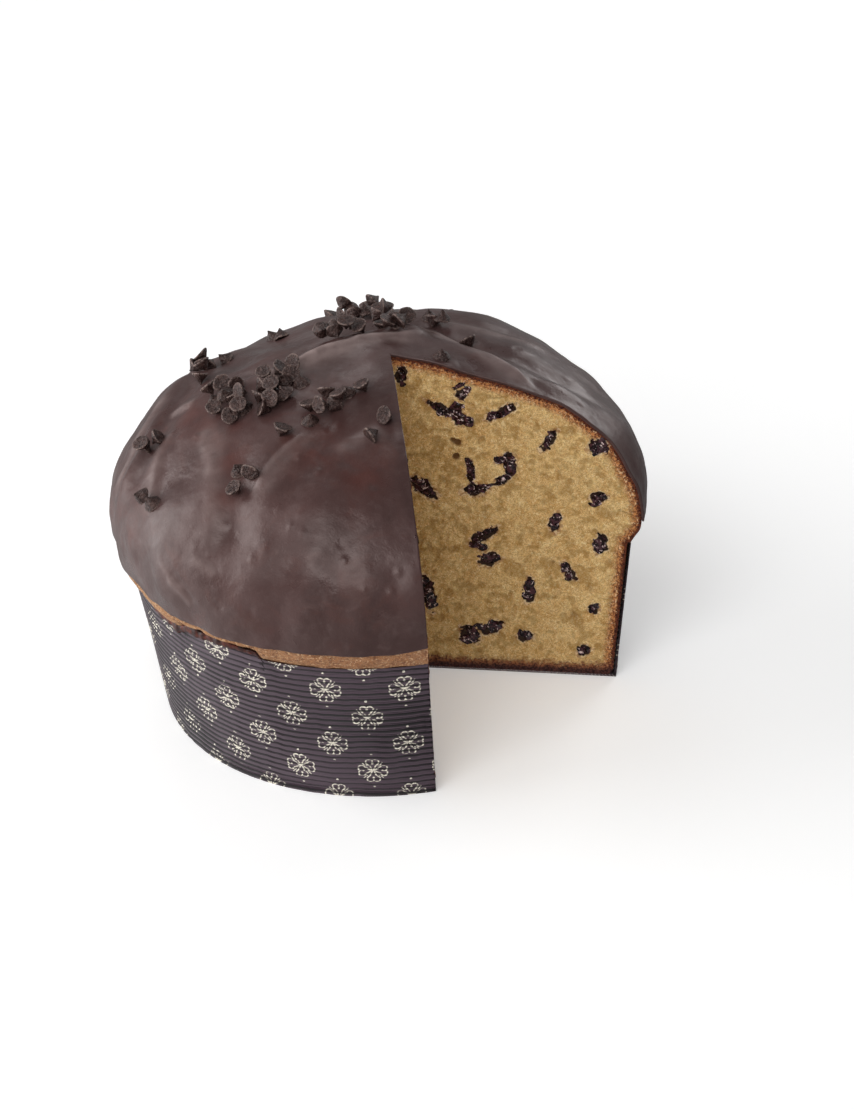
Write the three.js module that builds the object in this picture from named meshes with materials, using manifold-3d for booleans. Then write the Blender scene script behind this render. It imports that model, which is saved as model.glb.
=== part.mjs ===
// Chocolate chip panettone: a low, wide loaf in its ribbed paper case, its dome dipped in dark
// chocolate and strewn with chocolate chips. One wedge has been cut out and taken away.
// Millimetres, +Z up. The origin is the centre of the underside of the paper case.
import * as THREE from 'three';
import { mergeVertices } from 'three/addons/utils/BufferGeometryUtils.js';
import Module from 'manifold-3d';

const wasm = await Module();
wasm.setup();

// Paper case: a slightly flared wall with ribs running round it, and a flat floor
const CASE_BASE_RADIUS = 100;
const CASE_RIM_RADIUS = 108.5;
const CASE_HEIGHT = 69;
const RIB_COUNT = 24;
const RIB_DEPTH = 0.6;
const CASE_PAPER = 1;
const CASE_FLOOR = 1;

// Dome, as the outer surface of the chocolate: a round shoulder with a tucked-in edge below it.
// Under the chocolate a lip of bare crust leans in to the rim: how far out and up from the rim.
const SHOULDER_RADIUS = 114.3;
const SHOULDER_Z = 81.7;
const DOME_TOP_Z = 155.9;
const DOME_ROUNDNESS_OUT = 1.5;
const DOME_ROUNDNESS_UP = 2.6;
const TUCK_DEPTH = 2.6;
const TUCK_HEIGHT = 4.6;
const TUCK_TURN = THREE.MathUtils.degToRad(34);
const LIP_SECTION = [[0.9, 0.6], [2.6, 2.8], [3.5, 5.4], [3.9, 7.8]];
const GLAZE_THICKNESS = 1.4;
const GAP = 0.3;

// The missing wedge: its point, near the middle of the loaf, and the directions of its two cuts
const WEDGE_POINT = new THREE.Vector2(9.4, -4);
const WEDGE_CUT_LEFT = THREE.MathUtils.degToRad(-87.1);
const WEDGE_CUT_RIGHT = THREE.MathUtils.degToRad(-13.1);
const WEDGE_REACH = 400;
const WEDGE_LOW = -20;
const WEDGE_HIGH = 220;

// Folds where the dough opened along its scoring. Each is an arc between two places, which are
// given in millimetres along the surface from the top of the dome, and it bows to its left.
// The trough lies on the arc, and the ridge stands on its right.
const FOLDS = [
  { from: [-64, 1], to: [36, 41], bow: 1, ridge: 3.2, trough: 3.4, width: 7.5 },
  { from: [12, 40], to: [108, -2], bow: -8, ridge: 2.0, trough: 2.8, width: 8 },
  { from: [-62, -12], to: [-67, -98], bow: 5, ridge: 0.5, trough: 1.7, width: 10 },
  { from: [-70, 42], to: [-118, -40], bow: 1, ridge: 1.3, trough: 1.3, width: 6 },
  { from: [-84, -18], to: [-101, -54], bow: 1, ridge: 0.3, trough: 0.6, width: 5 },
  { from: [-64, -58], to: [-8, -40], bow: 5, ridge: 0.6, trough: 0.6, width: 8 },
  { from: [-50, 16], to: [-98, 66], bow: -5, ridge: 0.8, trough: 2.2, width: 8 },
  { from: [40, 84], to: [60, 136], bow: 6, ridge: 1.4, trough: 2.2, width: 9 },
  { from: [-20, 86], to: [-26, 136], bow: -5, ridge: 0.9, trough: 1.8, width: 8 },
];
const FOLD_FADE = 0.4;

// Broad swells and hollows of the dome: place along the surface, reach and height
const SWELLS = [
  { at: [-38, 58], reach: 30, height: -4.6 },
  { at: [52, 70], reach: 30, height: 2.0 },
  { at: [106, 30], reach: 26, height: -1.4 },
  { at: [-70, -96], reach: 16, height: -0.9 },
  { at: [-28, -86], reach: 20, height: 0.9 },
  { at: [-104, -64], reach: 22, height: 0.8 },
];

// Slow unevenness of the chocolate: wave lengths and heights of the waves that are added up
const WAVES = [
  { length: 64, height: 0.55, heading: 0.4, phase: 1.3 },
  { length: 47, height: 0.45, heading: 2.1, phase: 4.0 },
  { length: 31, height: 0.3, heading: 1.2, phase: 0.6 },
  { length: 26, height: 0.25, heading: 2.8, phase: 2.9 },
];
const GLAZE_EDGE_WAVE = 1.3;

// Chocolate chips: a flat round base and a soft point
const CHIP_RADIUS = 3.8;
const CHIP_HEIGHT = 5.2;
const CHIP_SIDES = 6;
const CHIP_CENTRE = 2;
const CHIP_SPACING = 6;
const CHIP_LIFT_LIMIT = 4.6;
const CHIP_SEAT_UPRIGHT = 1.6;
const CHIP_SEAT_TIPPED = 2.3;
const CHIP_WEDGE_CLEARANCE = 4.5;
const CHIPS_UPRIGHT = 0.24;
const CHIPS_ON_SIDE = 0.3;

// Where the chips gathered: place along the surface, reach along and across a heading, and count
const CHIP_CLUSTERS = [
  { at: [-71, 47], reach: [13, 6], heading: 40, count: 5 },
  { at: [-39, 58], reach: [13, 3], heading: 113, count: 2 },
  { at: [-8, 16], reach: [10, 4], heading: 20, count: 6 },
  { at: [12, 23], reach: [10, 6], heading: 60, count: 9 },
  { at: [0, 61], reach: [17, 11], heading: 90, count: 11 },
  { at: [31, 38], reach: [9, 3], heading: 110, count: 3 },
  { at: [44, 20], reach: [1, 1], heading: 0, count: 1 },
  { at: [30, -5], reach: [1, 1], heading: 0, count: 1 },
  { at: [-71, 19], reach: [5, 3], heading: 100, count: 2 },
  { at: [-60, -13], reach: [15, 8], heading: 110, count: 11 },
  { at: [-38, -16], reach: [15, 9], heading: 60, count: 14 },
  { at: [-14, -31], reach: [13, 5], heading: 20, count: 7 },
  { at: [-37, -47], reach: [1, 1], heading: 0, count: 1 },
  { at: [-26, -41], reach: [1, 1], heading: 0, count: 1 },
  { at: [0, -55], reach: [1, 1], heading: 0, count: 1 },
  { at: [6, -45], reach: [1, 1], heading: 0, count: 1 },
  { at: [-99, -11], reach: [7, 4], heading: 140, count: 3 },
  { at: [-59, -57], reach: [1, 1], heading: 0, count: 1 },
  { at: [-52, -62], reach: [1, 1], heading: 0, count: 1 },
  { at: [-60, -67], reach: [1, 1], heading: 0, count: 1 },
  { at: [-103, -48], reach: [5, 2], heading: -20, count: 2 },
  { at: [44, 108], reach: [9, 7], heading: 60, count: 5 },
  { at: [-18, 112], reach: [12, 6], heading: 100, count: 5 },
  { at: [68, 106], reach: [8, 4], heading: 110, count: 3 },
];

// Chips baked into the crumb that the right cut goes through: distance from the wedge point,
// height, length, width, and turn in degrees from level
const RIGHT_CUT_CHIPS = [
  [4, 146, 8, 4.5, 86],
  [28.5, 142, 5.5, 1.5, 31],
  [29.5, 138, 6, 4.5, 25],
  [19.5, 130.5, 12.5, 4, -34],
  [27, 127.5, 10, 6.5, -47],
  [45.5, 130, 14, 4, 29],
  [9.5, 92, 14.5, 6, -42],
  [31, 101.5, 10, 4, -87],
  [32.5, 92, 11, 5.5, 11],
  [40.5, 94.5, 8.5, 1.5, 18],
  [46, 107.5, 8.5, 4.5, 21],
  [48.5, 103.5, 8.5, 3.5, 78],
  [45, 98, 7.5, 4, 34],
  [34.5, 69, 13, 4.5, 35],
  [32.5, 64, 7.5, 4.5, -31],
  [37, 57.5, 9, 6, 21],
  [8.5, 39, 16.5, 6, -82],
  [53.5, 42.5, 11.5, 4.5, 83],
  [26, 18.5, 9, 8.5, 18],
  [35.5, 22.5, 12, 6, 23],
  [51, 19, 6.5, 4.5, 20],
];

// Chips in the cut faces that are spread by a rule: spacing, sizes and how far they stand out
const CUT_CHIP_SPACING = 20;
const CUT_CHIP_LENGTH = 5.5;
const CUT_CHIP_LENGTH_SPREAD = 7;
const CUT_CHIP_WIDTH = 3.5;
const CUT_CHIP_WIDTH_SPREAD = 2.5;
const CUT_CHIP_STAND_OUT = 0.8;
const CUT_CHIP_EDGE_CLEARANCE = 8;
const CUT_CHIP_LOWEST = 10;
const RIGHT_CUT_RULE_STARTS = 60;
const LEFT_CUT_RULE_STARTS = 9;

// Fineness of the faceted surfaces
const ROUND_STEPS = 52;
const CASE_ROUND_STEPS = 36;
const DOME_STEPS = 17;
const PROFILE_SAMPLES = 240;

const COLOURS = {
  crumb: 0xd3b070,
  glaze: 0x3b2b2a,
  paper: 0x4a3d46,
};

const caseSlope = (CASE_RIM_RADIUS - CASE_BASE_RADIUS) / CASE_HEIGHT;
const outerCaseRadius = (z) => CASE_BASE_RADIUS + caseSlope * z;
const innerCaseRadius = (z) => outerCaseRadius(z) - RIB_DEPTH - CASE_PAPER;

// A fixed sequence of numbers from 0 to 1, the same every time
let sequence = 11;
function draw() {
  sequence = (sequence * 1664525 + 1013904223) % 4294967296;
  return sequence / 4294967296;
}

// The dome's profile as points from the top down to the glaze edge, with outward normals and
// the distance from the top along the surface
function sampleProfile() {
  const points = [];
  for (let i = 0; i <= PROFILE_SAMPLES; i += 1) {
    const turn = (Math.PI / 2) * (1 - i / PROFILE_SAMPLES);
    const out = Math.cos(turn) ** (2 / DOME_ROUNDNESS_OUT);
    const up = Math.sin(turn) ** (2 / DOME_ROUNDNESS_UP);
    points.push([SHOULDER_RADIUS * out, SHOULDER_Z + (DOME_TOP_Z - SHOULDER_Z) * up]);
  }
  const tuckSamples = PROFILE_SAMPLES / 10;
  for (let i = 1; i <= tuckSamples; i += 1) {
    const turn = (TUCK_TURN * i) / tuckSamples;
    const r = SHOULDER_RADIUS - TUCK_DEPTH * (1 - Math.cos(turn));
    points.push([r, SHOULDER_Z - TUCK_HEIGHT * Math.sin(turn)]);
  }
  let distance = 0;
  return points.map(([r, z], i) => {
    const before = points[Math.max(i - 1, 0)];
    const after = points[Math.min(i + 1, points.length - 1)];
    distance += i === 0 ? 0 : Math.hypot(r - before[0], z - before[1]);
    const run = Math.hypot(after[0] - before[0], after[1] - before[1]);
    const outward = i === 0 ? 0 : (before[1] - after[1]) / run;
    const upward = i === 0 ? 1 : (after[0] - before[0]) / run;
    return { distance, r, z, outward, upward };
  });
}
const profile = sampleProfile();
const edgeDistance = profile[profile.length - 1].distance;

function profileAt(distance) {
  const wanted = Math.min(Math.max(distance, 0), edgeDistance);
  let i = 1;
  while (profile[i].distance < wanted) i += 1;
  const low = profile[i - 1];
  const high = profile[i];
  const share = (wanted - low.distance) / (high.distance - low.distance);
  const mix = (key) => THREE.MathUtils.lerp(low[key], high[key], share);
  return { r: mix('r'), z: mix('z'), outward: mix('outward'), upward: mix('upward') };
}

// Signed distance from a fold's arc, positive on its left, and how strong the fold is there:
// it is full along the middle and dies away towards both ends
function besideFold(u, v, { from, to, bow }) {
  const chord = new THREE.Vector2(to[0] - from[0], to[1] - from[1]);
  const half = chord.length() / 2;
  const radius = (half * half + bow * bow) / (2 * bow);
  const left = new THREE.Vector2(-chord.y, chord.x).normalize();
  const centre = left.clone().multiplyScalar(bow - radius);
  const out = new THREE.Vector2(u - (from[0] + to[0]) / 2, v - (from[1] + to[1]) / 2).sub(centre);
  const outward = left.clone().multiplyScalar(Math.sign(bow));
  const turned = Math.abs(Math.atan2(outward.cross(out), outward.dot(out)));
  const reach = Math.atan2(half, Math.abs(radius - bow));
  const distance = Math.sign(bow) * out.length() - radius;
  return { distance, strength: THREE.MathUtils.smoothstep(1 - turned / reach, 0, FOLD_FADE) };
}

// How far the surface stands proud of the smooth dome at a place along the surface
function relief(u, v) {
  const bell = (x) => Math.exp(-x * x);
  let height = 0;
  for (const fold of FOLDS) {
    const { distance, strength } = besideFold(u, v, fold);
    const ridge = fold.ridge * bell((distance + 1.3 * fold.width) / fold.width);
    height += strength * (ridge - fold.trough * bell(distance / fold.width));
  }
  for (const { at, reach, height: swell } of SWELLS) {
    height += swell * bell(Math.hypot(u - at[0], v - at[1]) / reach);
  }
  for (const { length, height: wave, heading, phase } of WAVES) {
    const across = u * Math.cos(heading) + v * Math.sin(heading);
    height += wave * Math.sin((2 * Math.PI * across) / length + phase);
  }
  return height;
}

// A point of the dome, raised or sunk from the outer surface of the chocolate
function domePoint(u, v, raised) {
  const distance = Math.hypot(u, v);
  const azimuth = Math.atan2(v, u);
  const { r, z, outward, upward } = profileAt(distance);
  const height = relief(u, v) + raised;
  const radius = r + outward * height;
  return new THREE.Vector3(radius * Math.cos(azimuth), radius * Math.sin(azimuth), z + upward * height);
}

function domeNormal(u, v) {
  const step = 1.5;
  const alongU = domePoint(u + step, v, 0).sub(domePoint(u - step, v, 0));
  const alongV = domePoint(u, v + step, 0).sub(domePoint(u, v - step, 0));
  return alongU.cross(alongV).normalize();
}

// The ring of the dome at a share of the way from the top to the glaze edge, which waves a little
function domeRing(share, raised) {
  return (azimuth) => {
    const wave = 0.5 * GLAZE_EDGE_WAVE * (Math.sin(3 * azimuth) - 1);
    const distance = share * (edgeDistance + wave);
    return domePoint(distance * Math.cos(azimuth), distance * Math.sin(azimuth), raised);
  };
}

// All rings of the dome from the glaze edge to the top
function domeRings(raised) {
  const rings = [];
  for (let i = DOME_STEPS; i >= 0; i -= 1) rings.push(domeRing(i / DOME_STEPS, raised));
  return rings;
}

const flatRing = (r, z) => (azimuth) => new THREE.Vector3(r * Math.cos(azimuth), r * Math.sin(azimuth), z);

// A closed surface through rings, with a point on the axis at each end, as a solid.
// The rings run so that the inside is on their left, seen in section with the axis on the left.
function solidOfRings(rings, roundSteps) {
  const positions = [];
  const triangles = [];
  const axisPoint = (ring) => new THREE.Vector3(0, 0, ring(0).z);
  positions.push(...axisPoint(rings[0]).toArray());
  for (const ring of rings.slice(1, -1)) {
    for (let k = 0; k < roundSteps; k += 1) {
      positions.push(...ring((2 * Math.PI * k) / roundSteps).toArray());
    }
  }
  const last = positions.length / 3;
  positions.push(...axisPoint(rings[rings.length - 1]).toArray());
  const ringCount = rings.length - 2;
  const vertex = (ring, k) => 1 + ring * roundSteps + (k % roundSteps);
  for (let k = 0; k < roundSteps; k += 1) {
    triangles.push(0, vertex(0, k + 1), vertex(0, k));
    triangles.push(last, vertex(ringCount - 1, k), vertex(ringCount - 1, k + 1));
    for (let i = 0; i + 1 < ringCount; i += 1) {
      triangles.push(vertex(i, k), vertex(i, k + 1), vertex(i + 1, k + 1));
      triangles.push(vertex(i, k), vertex(i + 1, k + 1), vertex(i + 1, k));
    }
  }
  const vertProperties = new Float32Array(positions);
  const triVerts = new Uint32Array(triangles);
  return new wasm.Manifold(new wasm.Mesh({ numProp: 3, vertProperties, triVerts }));
}

// A three.js geometry as a solid
function solidOf(geometry) {
  const bare = geometry.clone();
  bare.deleteAttribute('normal');
  bare.deleteAttribute('uv');
  const merged = mergeVertices(bare, 1e-4);
  const vertProperties = new Float32Array(merged.attributes.position.array);
  const triVerts = new Uint32Array(merged.index.array);
  return new wasm.Manifold(new wasm.Mesh({ numProp: 3, vertProperties, triVerts }));
}

// A named mesh from a solid, without any loose scrap that cutting left
function meshOf(name, solid, colour, roughness) {
  const largest = solid.decompose().reduce((a, b) => (a.volume() > b.volume() ? a : b));
  const { vertProperties, triVerts, numProp } = largest.getMesh();
  const geometry = new THREE.BufferGeometry();
  const positions = new Float32Array((vertProperties.length / numProp) * 3);
  for (let i = 0; i < positions.length / 3; i += 1) {
    positions.set(vertProperties.subarray(i * numProp, i * numProp + 3), i * 3);
  }
  geometry.setAttribute('position', new THREE.BufferAttribute(positions, 3));
  geometry.setIndex(new THREE.BufferAttribute(new Uint32Array(triVerts), 1));
  geometry.computeVertexNormals();
  const material = new THREE.MeshStandardMaterial({ color: colour, roughness, metalness: 0 });
  const mesh = new THREE.Mesh(geometry, material);
  mesh.name = name;
  return mesh;
}

function wedgeSolid() {
  const far = (heading) => {
    const reach = new THREE.Vector2(Math.cos(heading), Math.sin(heading)).multiplyScalar(WEDGE_REACH);
    return WEDGE_POINT.clone().add(reach);
  };
  const shape = new THREE.Shape([WEDGE_POINT, far(WEDGE_CUT_LEFT), far(WEDGE_CUT_RIGHT)]);
  const geometry = new THREE.ExtrudeGeometry(shape, { depth: WEDGE_HIGH - WEDGE_LOW, bevelEnabled: false });
  geometry.translate(0, 0, WEDGE_LOW);
  return solidOf(geometry);
}

// Distance of a place in plan from the nearer cut, negative inside the wedge
function clearOfWedge(x, y) {
  const dx = x - WEDGE_POINT.x;
  const dy = y - WEDGE_POINT.y;
  const beyondLeft = dx * Math.sin(WEDGE_CUT_LEFT) - dy * Math.cos(WEDGE_CUT_LEFT);
  const beyondRight = dy * Math.cos(WEDGE_CUT_RIGHT) - dx * Math.sin(WEDGE_CUT_RIGHT);
  return Math.max(beyondLeft, beyondRight);
}

// The flats of the inner wall, not its corners, lie at the inner radius, clear of the loaf
function innerWallRing(z) {
  return flatRing(innerCaseRadius(z) / Math.cos(Math.PI / CASE_ROUND_STEPS), z);
}

function paperCase() {
  const rings = [flatRing(0, 0), flatRing(CASE_BASE_RADIUS, 0)];
  const halfPitch = CASE_HEIGHT / (2 * RIB_COUNT);
  for (let i = 1; i < 2 * RIB_COUNT; i += 1) {
    const z = i * halfPitch;
    rings.push(flatRing(outerCaseRadius(z) - (i % 2) * RIB_DEPTH, z));
  }
  rings.push(flatRing(CASE_RIM_RADIUS, CASE_HEIGHT));
  rings.push(innerWallRing(CASE_HEIGHT));
  rings.push(innerWallRing(CASE_FLOOR));
  rings.push(flatRing(0, CASE_FLOOR));
  return solidOfRings(rings, CASE_ROUND_STEPS);
}

// The baked loaf: it fills the case, swells out over the rim as a crust lip, and rises as the dome
function bakedLoaf() {
  const bottom = CASE_FLOOR + GAP;
  const rimZ = CASE_HEIGHT + 2 * GAP;
  const fit = innerCaseRadius(0) - GAP;
  const rings = [
    flatRing(0, bottom),
    flatRing(fit + caseSlope * bottom, bottom),
    flatRing(fit + caseSlope * CASE_HEIGHT * 0.5, CASE_HEIGHT * 0.5),
    flatRing(fit + caseSlope * CASE_HEIGHT, rimZ),
    ...LIP_SECTION.map(([out, up]) => flatRing(CASE_RIM_RADIUS + out, rimZ + up)),
    ...domeRings(-GLAZE_THICKNESS - GAP),
  ];
  return solidOfRings(rings, ROUND_STEPS);
}

// Everything inside the chocolate, carried on below it so that it cuts the shell open
function glazeCore() {
  const edge = domeRing(1, -GLAZE_THICKNESS);
  const below = (azimuth) => edge(azimuth).setZ(CASE_HEIGHT);
  return solidOfRings([flatRing(0, CASE_HEIGHT), below, ...domeRings(-GLAZE_THICKNESS)], ROUND_STEPS);
}

// The dipped dome, solid down to the edge of the chocolate
function dippedDome() {
  const edge = domeRing(1, -GLAZE_THICKNESS);
  return solidOfRings([flatRing(0, SHOULDER_Z), edge, ...domeRings(0)], ROUND_STEPS);
}

// One chocolate chip standing on its base, with its centre at the origin
function chipSolid() {
  const section = [
    [0, 0],
    [CHIP_RADIUS, 0],
    [0.86 * CHIP_RADIUS, 0.42 * CHIP_HEIGHT],
    [0, CHIP_HEIGHT],
  ];
  const points = section.map(([r, y]) => new THREE.Vector2(r, y));
  const geometry = new THREE.LatheGeometry(points, CHIP_SIDES);
  geometry.rotateX(Math.PI / 2);
  geometry.translate(0, 0, -CHIP_CENTRE);
  return solidOf(geometry);
}

// Each chip is dropped on the glaze, or on the chips that already lie there
function placeChips() {
  const chips = [];
  for (const { at, reach, heading, count } of CHIP_CLUSTERS) {
    const turn = THREE.MathUtils.degToRad(heading);
    const wanted = chips.length + count;
    for (let attempt = 0; attempt < 60 * count && chips.length < wanted; attempt += 1) {
      const around = 2 * Math.PI * draw();
      const out = Math.sqrt(draw());
      const along = reach[0] * out * Math.cos(around);
      const across = reach[1] * out * Math.sin(around);
      const u = at[0] + along * Math.cos(turn) - across * Math.sin(turn);
      const v = at[1] + along * Math.sin(turn) + across * Math.cos(turn);
      const pose = draw();
      const lean = draw();
      const leanHeading = 2 * Math.PI * draw();
      let lift = 0;
      for (const other of chips) {
        const apart = Math.hypot(u - other.u, v - other.v);
        if (apart < CHIP_SPACING) {
          lift = Math.max(lift, other.lift + Math.sqrt(CHIP_SPACING ** 2 - apart ** 2));
        }
      }
      const { x, y } = domePoint(u, v, 0);
      if (lift < CHIP_LIFT_LIMIT && clearOfWedge(x, y) > CHIP_WEDGE_CLEARANCE) {
        chips.push({ u, v, lift, pose, lean, leanHeading });
      }
    }
  }
  return chips;
}

// A chip stands, lies on its side or shows its flat base, in that order of the drawn number
function chipMatrix({ u, v, lift, pose, lean, leanHeading }) {
  const normal = domeNormal(u, v);
  const upright = pose < CHIPS_UPRIGHT;
  const onSide = pose < CHIPS_UPRIGHT + CHIPS_ON_SIDE;
  const degrees = upright ? 24 * lean : onSide ? 66 + 44 * lean : 118 + 50 * lean;
  const seat = (upright ? CHIP_SEAT_UPRIGHT : CHIP_SEAT_TIPPED) + lift;
  const centre = domePoint(u, v, 0).addScaledVector(normal, seat);
  const leanAxis = new THREE.Vector3(Math.cos(leanHeading), Math.sin(leanHeading), 0);
  const tip = new THREE.Quaternion().setFromAxisAngle(leanAxis, THREE.MathUtils.degToRad(degrees));
  const stand = new THREE.Quaternion().setFromUnitVectors(new THREE.Vector3(0, 0, 1), normal);
  return new THREE.Matrix4().compose(centre, stand.multiply(tip), new THREE.Vector3(1, 1, 1));
}

// The top of the loaf above a place in plan, without the chocolate
function loafTop(x, y) {
  let distance = Math.hypot(x, y);
  for (let i = 0; i < 8; i += 1) {
    distance += Math.hypot(x, y) - profileAt(distance).r;
  }
  return profileAt(distance).z;
}

// A chip that a cut went through: a flat lump whose middle lies in the cut
function cutChip(cut, [along, z, length, width, turn]) {
  const geometry = new THREE.IcosahedronGeometry(1, 0);
  geometry.scale(length / 2, CUT_CHIP_STAND_OUT, width / 2);
  geometry.rotateY(-THREE.MathUtils.degToRad(turn));
  geometry.rotateZ(cut);
  geometry.translate(WEDGE_POINT.x + along * Math.cos(cut), WEDGE_POINT.y + along * Math.sin(cut), z);
  return solidOf(geometry);
}

// Chips spread over the rest of a cut by a rule, clear of the crust, the case and each other
function spreadCutChips(cut, starts, taken) {
  const chips = [...taken];
  for (let attempt = 0; attempt < 900; attempt += 1) {
    const along = starts + (CASE_BASE_RADIUS - starts) * draw();
    const z = CUT_CHIP_LOWEST + (DOME_TOP_Z - CUT_CHIP_LOWEST) * draw();
    const length = CUT_CHIP_LENGTH + CUT_CHIP_LENGTH_SPREAD * draw();
    const width = CUT_CHIP_WIDTH + CUT_CHIP_WIDTH_SPREAD * draw();
    const turn = 180 * draw();
    const x = WEDGE_POINT.x + along * Math.cos(cut);
    const y = WEDGE_POINT.y + along * Math.sin(cut);
    const sideways = Math.hypot(x, y) < innerCaseRadius(z) - CUT_CHIP_EDGE_CLEARANCE;
    const below = z < loafTop(x, y) - CUT_CHIP_EDGE_CLEARANCE;
    const apart = chips.every((other) => Math.hypot(along - other[0], z - other[1]) > CUT_CHIP_SPACING);
    if (sideways && below && apart) chips.push([along, z, length, width, turn]);
  }
  return chips;
}

const wedge = wedgeSolid();

const rightChips = spreadCutChips(WEDGE_CUT_RIGHT, RIGHT_CUT_RULE_STARTS, RIGHT_CUT_CHIPS);
const leftChips = spreadCutChips(WEDGE_CUT_LEFT, LEFT_CUT_RULE_STARTS, []);
let crumb = bakedLoaf().subtract(wedge);
for (const chip of rightChips) crumb = crumb.add(cutChip(WEDGE_CUT_RIGHT, chip));
for (const chip of leftChips) crumb = crumb.add(cutChip(WEDGE_CUT_LEFT, chip));

const oneChip = chipSolid();
let glaze = dippedDome();
for (const chip of placeChips()) glaze = glaze.add(oneChip.transform(chipMatrix(chip).elements));
glaze = glaze.subtract(glazeCore()).subtract(wedge);

const ribbedCase = paperCase().subtract(wedge);

const panettone = new THREE.Group();
panettone.add(meshOf('crumb', crumb, COLOURS.crumb, 0.95));
panettone.add(meshOf('glaze', glaze, COLOURS.glaze, 0.4));
panettone.add(meshOf('paper_case', ribbedCase, COLOURS.paper, 0.8));

export default panettone;
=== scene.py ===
# %% [markdown]
# # A chocolate chip panettone with a wedge cut out
#
# A low, wide loaf stands in its ribbed paper case. Its dome was dipped in dark chocolate while the
# chips were still loose, and one wedge has been cut out, so the yellow crumb shows. The cells below
# build each thing that can be touched: glaze, crumb, chips, paper, and the light they are seen in.

# %% Load the fixed frame
import math

import bmesh
import bpy
import numpy as np
from mathutils import Matrix, Vector, kdtree


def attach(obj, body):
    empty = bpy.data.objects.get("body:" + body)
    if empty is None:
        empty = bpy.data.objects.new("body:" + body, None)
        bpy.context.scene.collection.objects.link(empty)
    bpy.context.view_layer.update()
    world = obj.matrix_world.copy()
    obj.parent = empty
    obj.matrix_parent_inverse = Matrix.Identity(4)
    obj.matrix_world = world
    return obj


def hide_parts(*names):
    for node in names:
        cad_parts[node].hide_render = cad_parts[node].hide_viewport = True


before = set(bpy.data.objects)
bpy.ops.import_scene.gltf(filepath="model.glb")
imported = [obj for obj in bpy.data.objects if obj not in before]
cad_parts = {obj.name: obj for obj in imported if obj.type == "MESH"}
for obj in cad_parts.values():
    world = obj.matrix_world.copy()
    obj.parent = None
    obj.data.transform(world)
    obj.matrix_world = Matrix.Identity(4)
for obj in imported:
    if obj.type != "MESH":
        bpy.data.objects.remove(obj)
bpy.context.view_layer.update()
print("frame nodes:", sorted(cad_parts))

# %% [markdown]
# ## Camera
#
# The loaf was photographed from above with a long lens. A camera could be placed by eye, but then
# nothing would line up for comparing. Here it hangs at a measured distance and elevation, looks at
# the middle of the base, tilts a little sideways, and turns until the base sits left of the middle.

# %% Place the camera
IMAGE_WIDTH = 854
IMAGE_HEIGHT = 1109
FOCAL_PIXELS = 3139.6
CAMERA_DISTANCE = 1.390
CAMERA_ELEVATION = math.radians(33.3)
CAMERA_TILT = math.radians(4.5)
BASE_PIXEL = (391.8, 663.5)
FILM_SIZE = 36


def place_camera():
    """A camera on its stand, turned so that the middle of the base falls on its pixel."""
    data = bpy.data.cameras.new("stand_camera")
    data.sensor_width = FILM_SIZE
    data.lens = FOCAL_PIXELS / IMAGE_HEIGHT * FILM_SIZE
    camera = bpy.data.objects.new("stand_camera", data)
    bpy.context.collection.objects.link(camera)
    back = Vector((0, -math.cos(CAMERA_ELEVATION), math.sin(CAMERA_ELEVATION)))
    right = Vector((1, 0, 0))
    level = Matrix((right, back.cross(right), -back))
    tilted = Matrix.Rotation(CAMERA_TILT, 3, "Z") @ level
    aside = (BASE_PIXEL[0] - IMAGE_WIDTH / 2) / FOCAL_PIXELS
    below = (BASE_PIXEL[1] - IMAGE_HEIGHT / 2) / FOCAL_PIXELS
    turn = Vector((0, 0, 1)).rotation_difference(Vector((aside, -below, 1))).to_matrix()
    rows = turn @ tilted
    axes = Matrix((rows[0], rows[1], -rows[2])).transposed()
    camera.matrix_world = Matrix.Translation(back * CAMERA_DISTANCE) @ axes.to_4x4()
    bpy.context.scene.camera = camera
    return camera


camera = place_camera()
print("lens", round(camera.data.lens, 1), "mm")

# %% [markdown]
# ## Light and floor
#
# Food like this is lit by one big soft window from the left, a weaker one in front, and a white
# table that throws light back up. Area lamps give the soft edges that a point lamp can't, and dark
# chocolate shows their size as broad grey sheens, so their places matter as much as their power.

# %% Hang the lamps and lay the floor
LAMPS = {
    "left_window": {"from": (-1.50, 0.22, 0.46), "size": 1.6, "watts": 22},
    "front_window": {"from": (-0.45, -1.05, 1.15), "size": 1.2, "watts": 12},
    "back_window": {"from": (-0.15, 1.2, 1.15), "size": 0.7, "watts": 1.6},
    "right_back_window": {"from": (0.95, 1.10, 0.62), "size": 0.9, "watts": 6},
}
LAMP_TARGET = Vector((0, 0, 0.08))
FLOOR_REACH = 6.0
SKY_LEFT = 0.36
SKY_RIGHT = 0.18
SKY_SPAN = 0.9
TABLE_SHINE = 1.0
SHINE_LEFT = (-0.3, -0.9)
SHINE_DOWN = (0.05, -0.3)
TABLE_GLOW = 0.28
TABLE_WHITE = (0.9, 0.9, 0.9, 1)
TABLE_ROUGHNESS = 0.9


def hang_lamp(name, place, size, watts):
    data = bpy.data.lights.new(name, "AREA")
    data.shape = "DISK"
    data.size = size
    data.energy = watts
    lamp = bpy.data.objects.new(name, data)
    bpy.context.collection.objects.link(lamp)
    lamp.location = place
    lamp.rotation_euler = (LAMP_TARGET - Vector(place)).to_track_quat("-Z", "Y").to_euler()


for name, lamp in LAMPS.items():
    hang_lamp(name, lamp["from"], lamp["size"], lamp["watts"])


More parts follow.
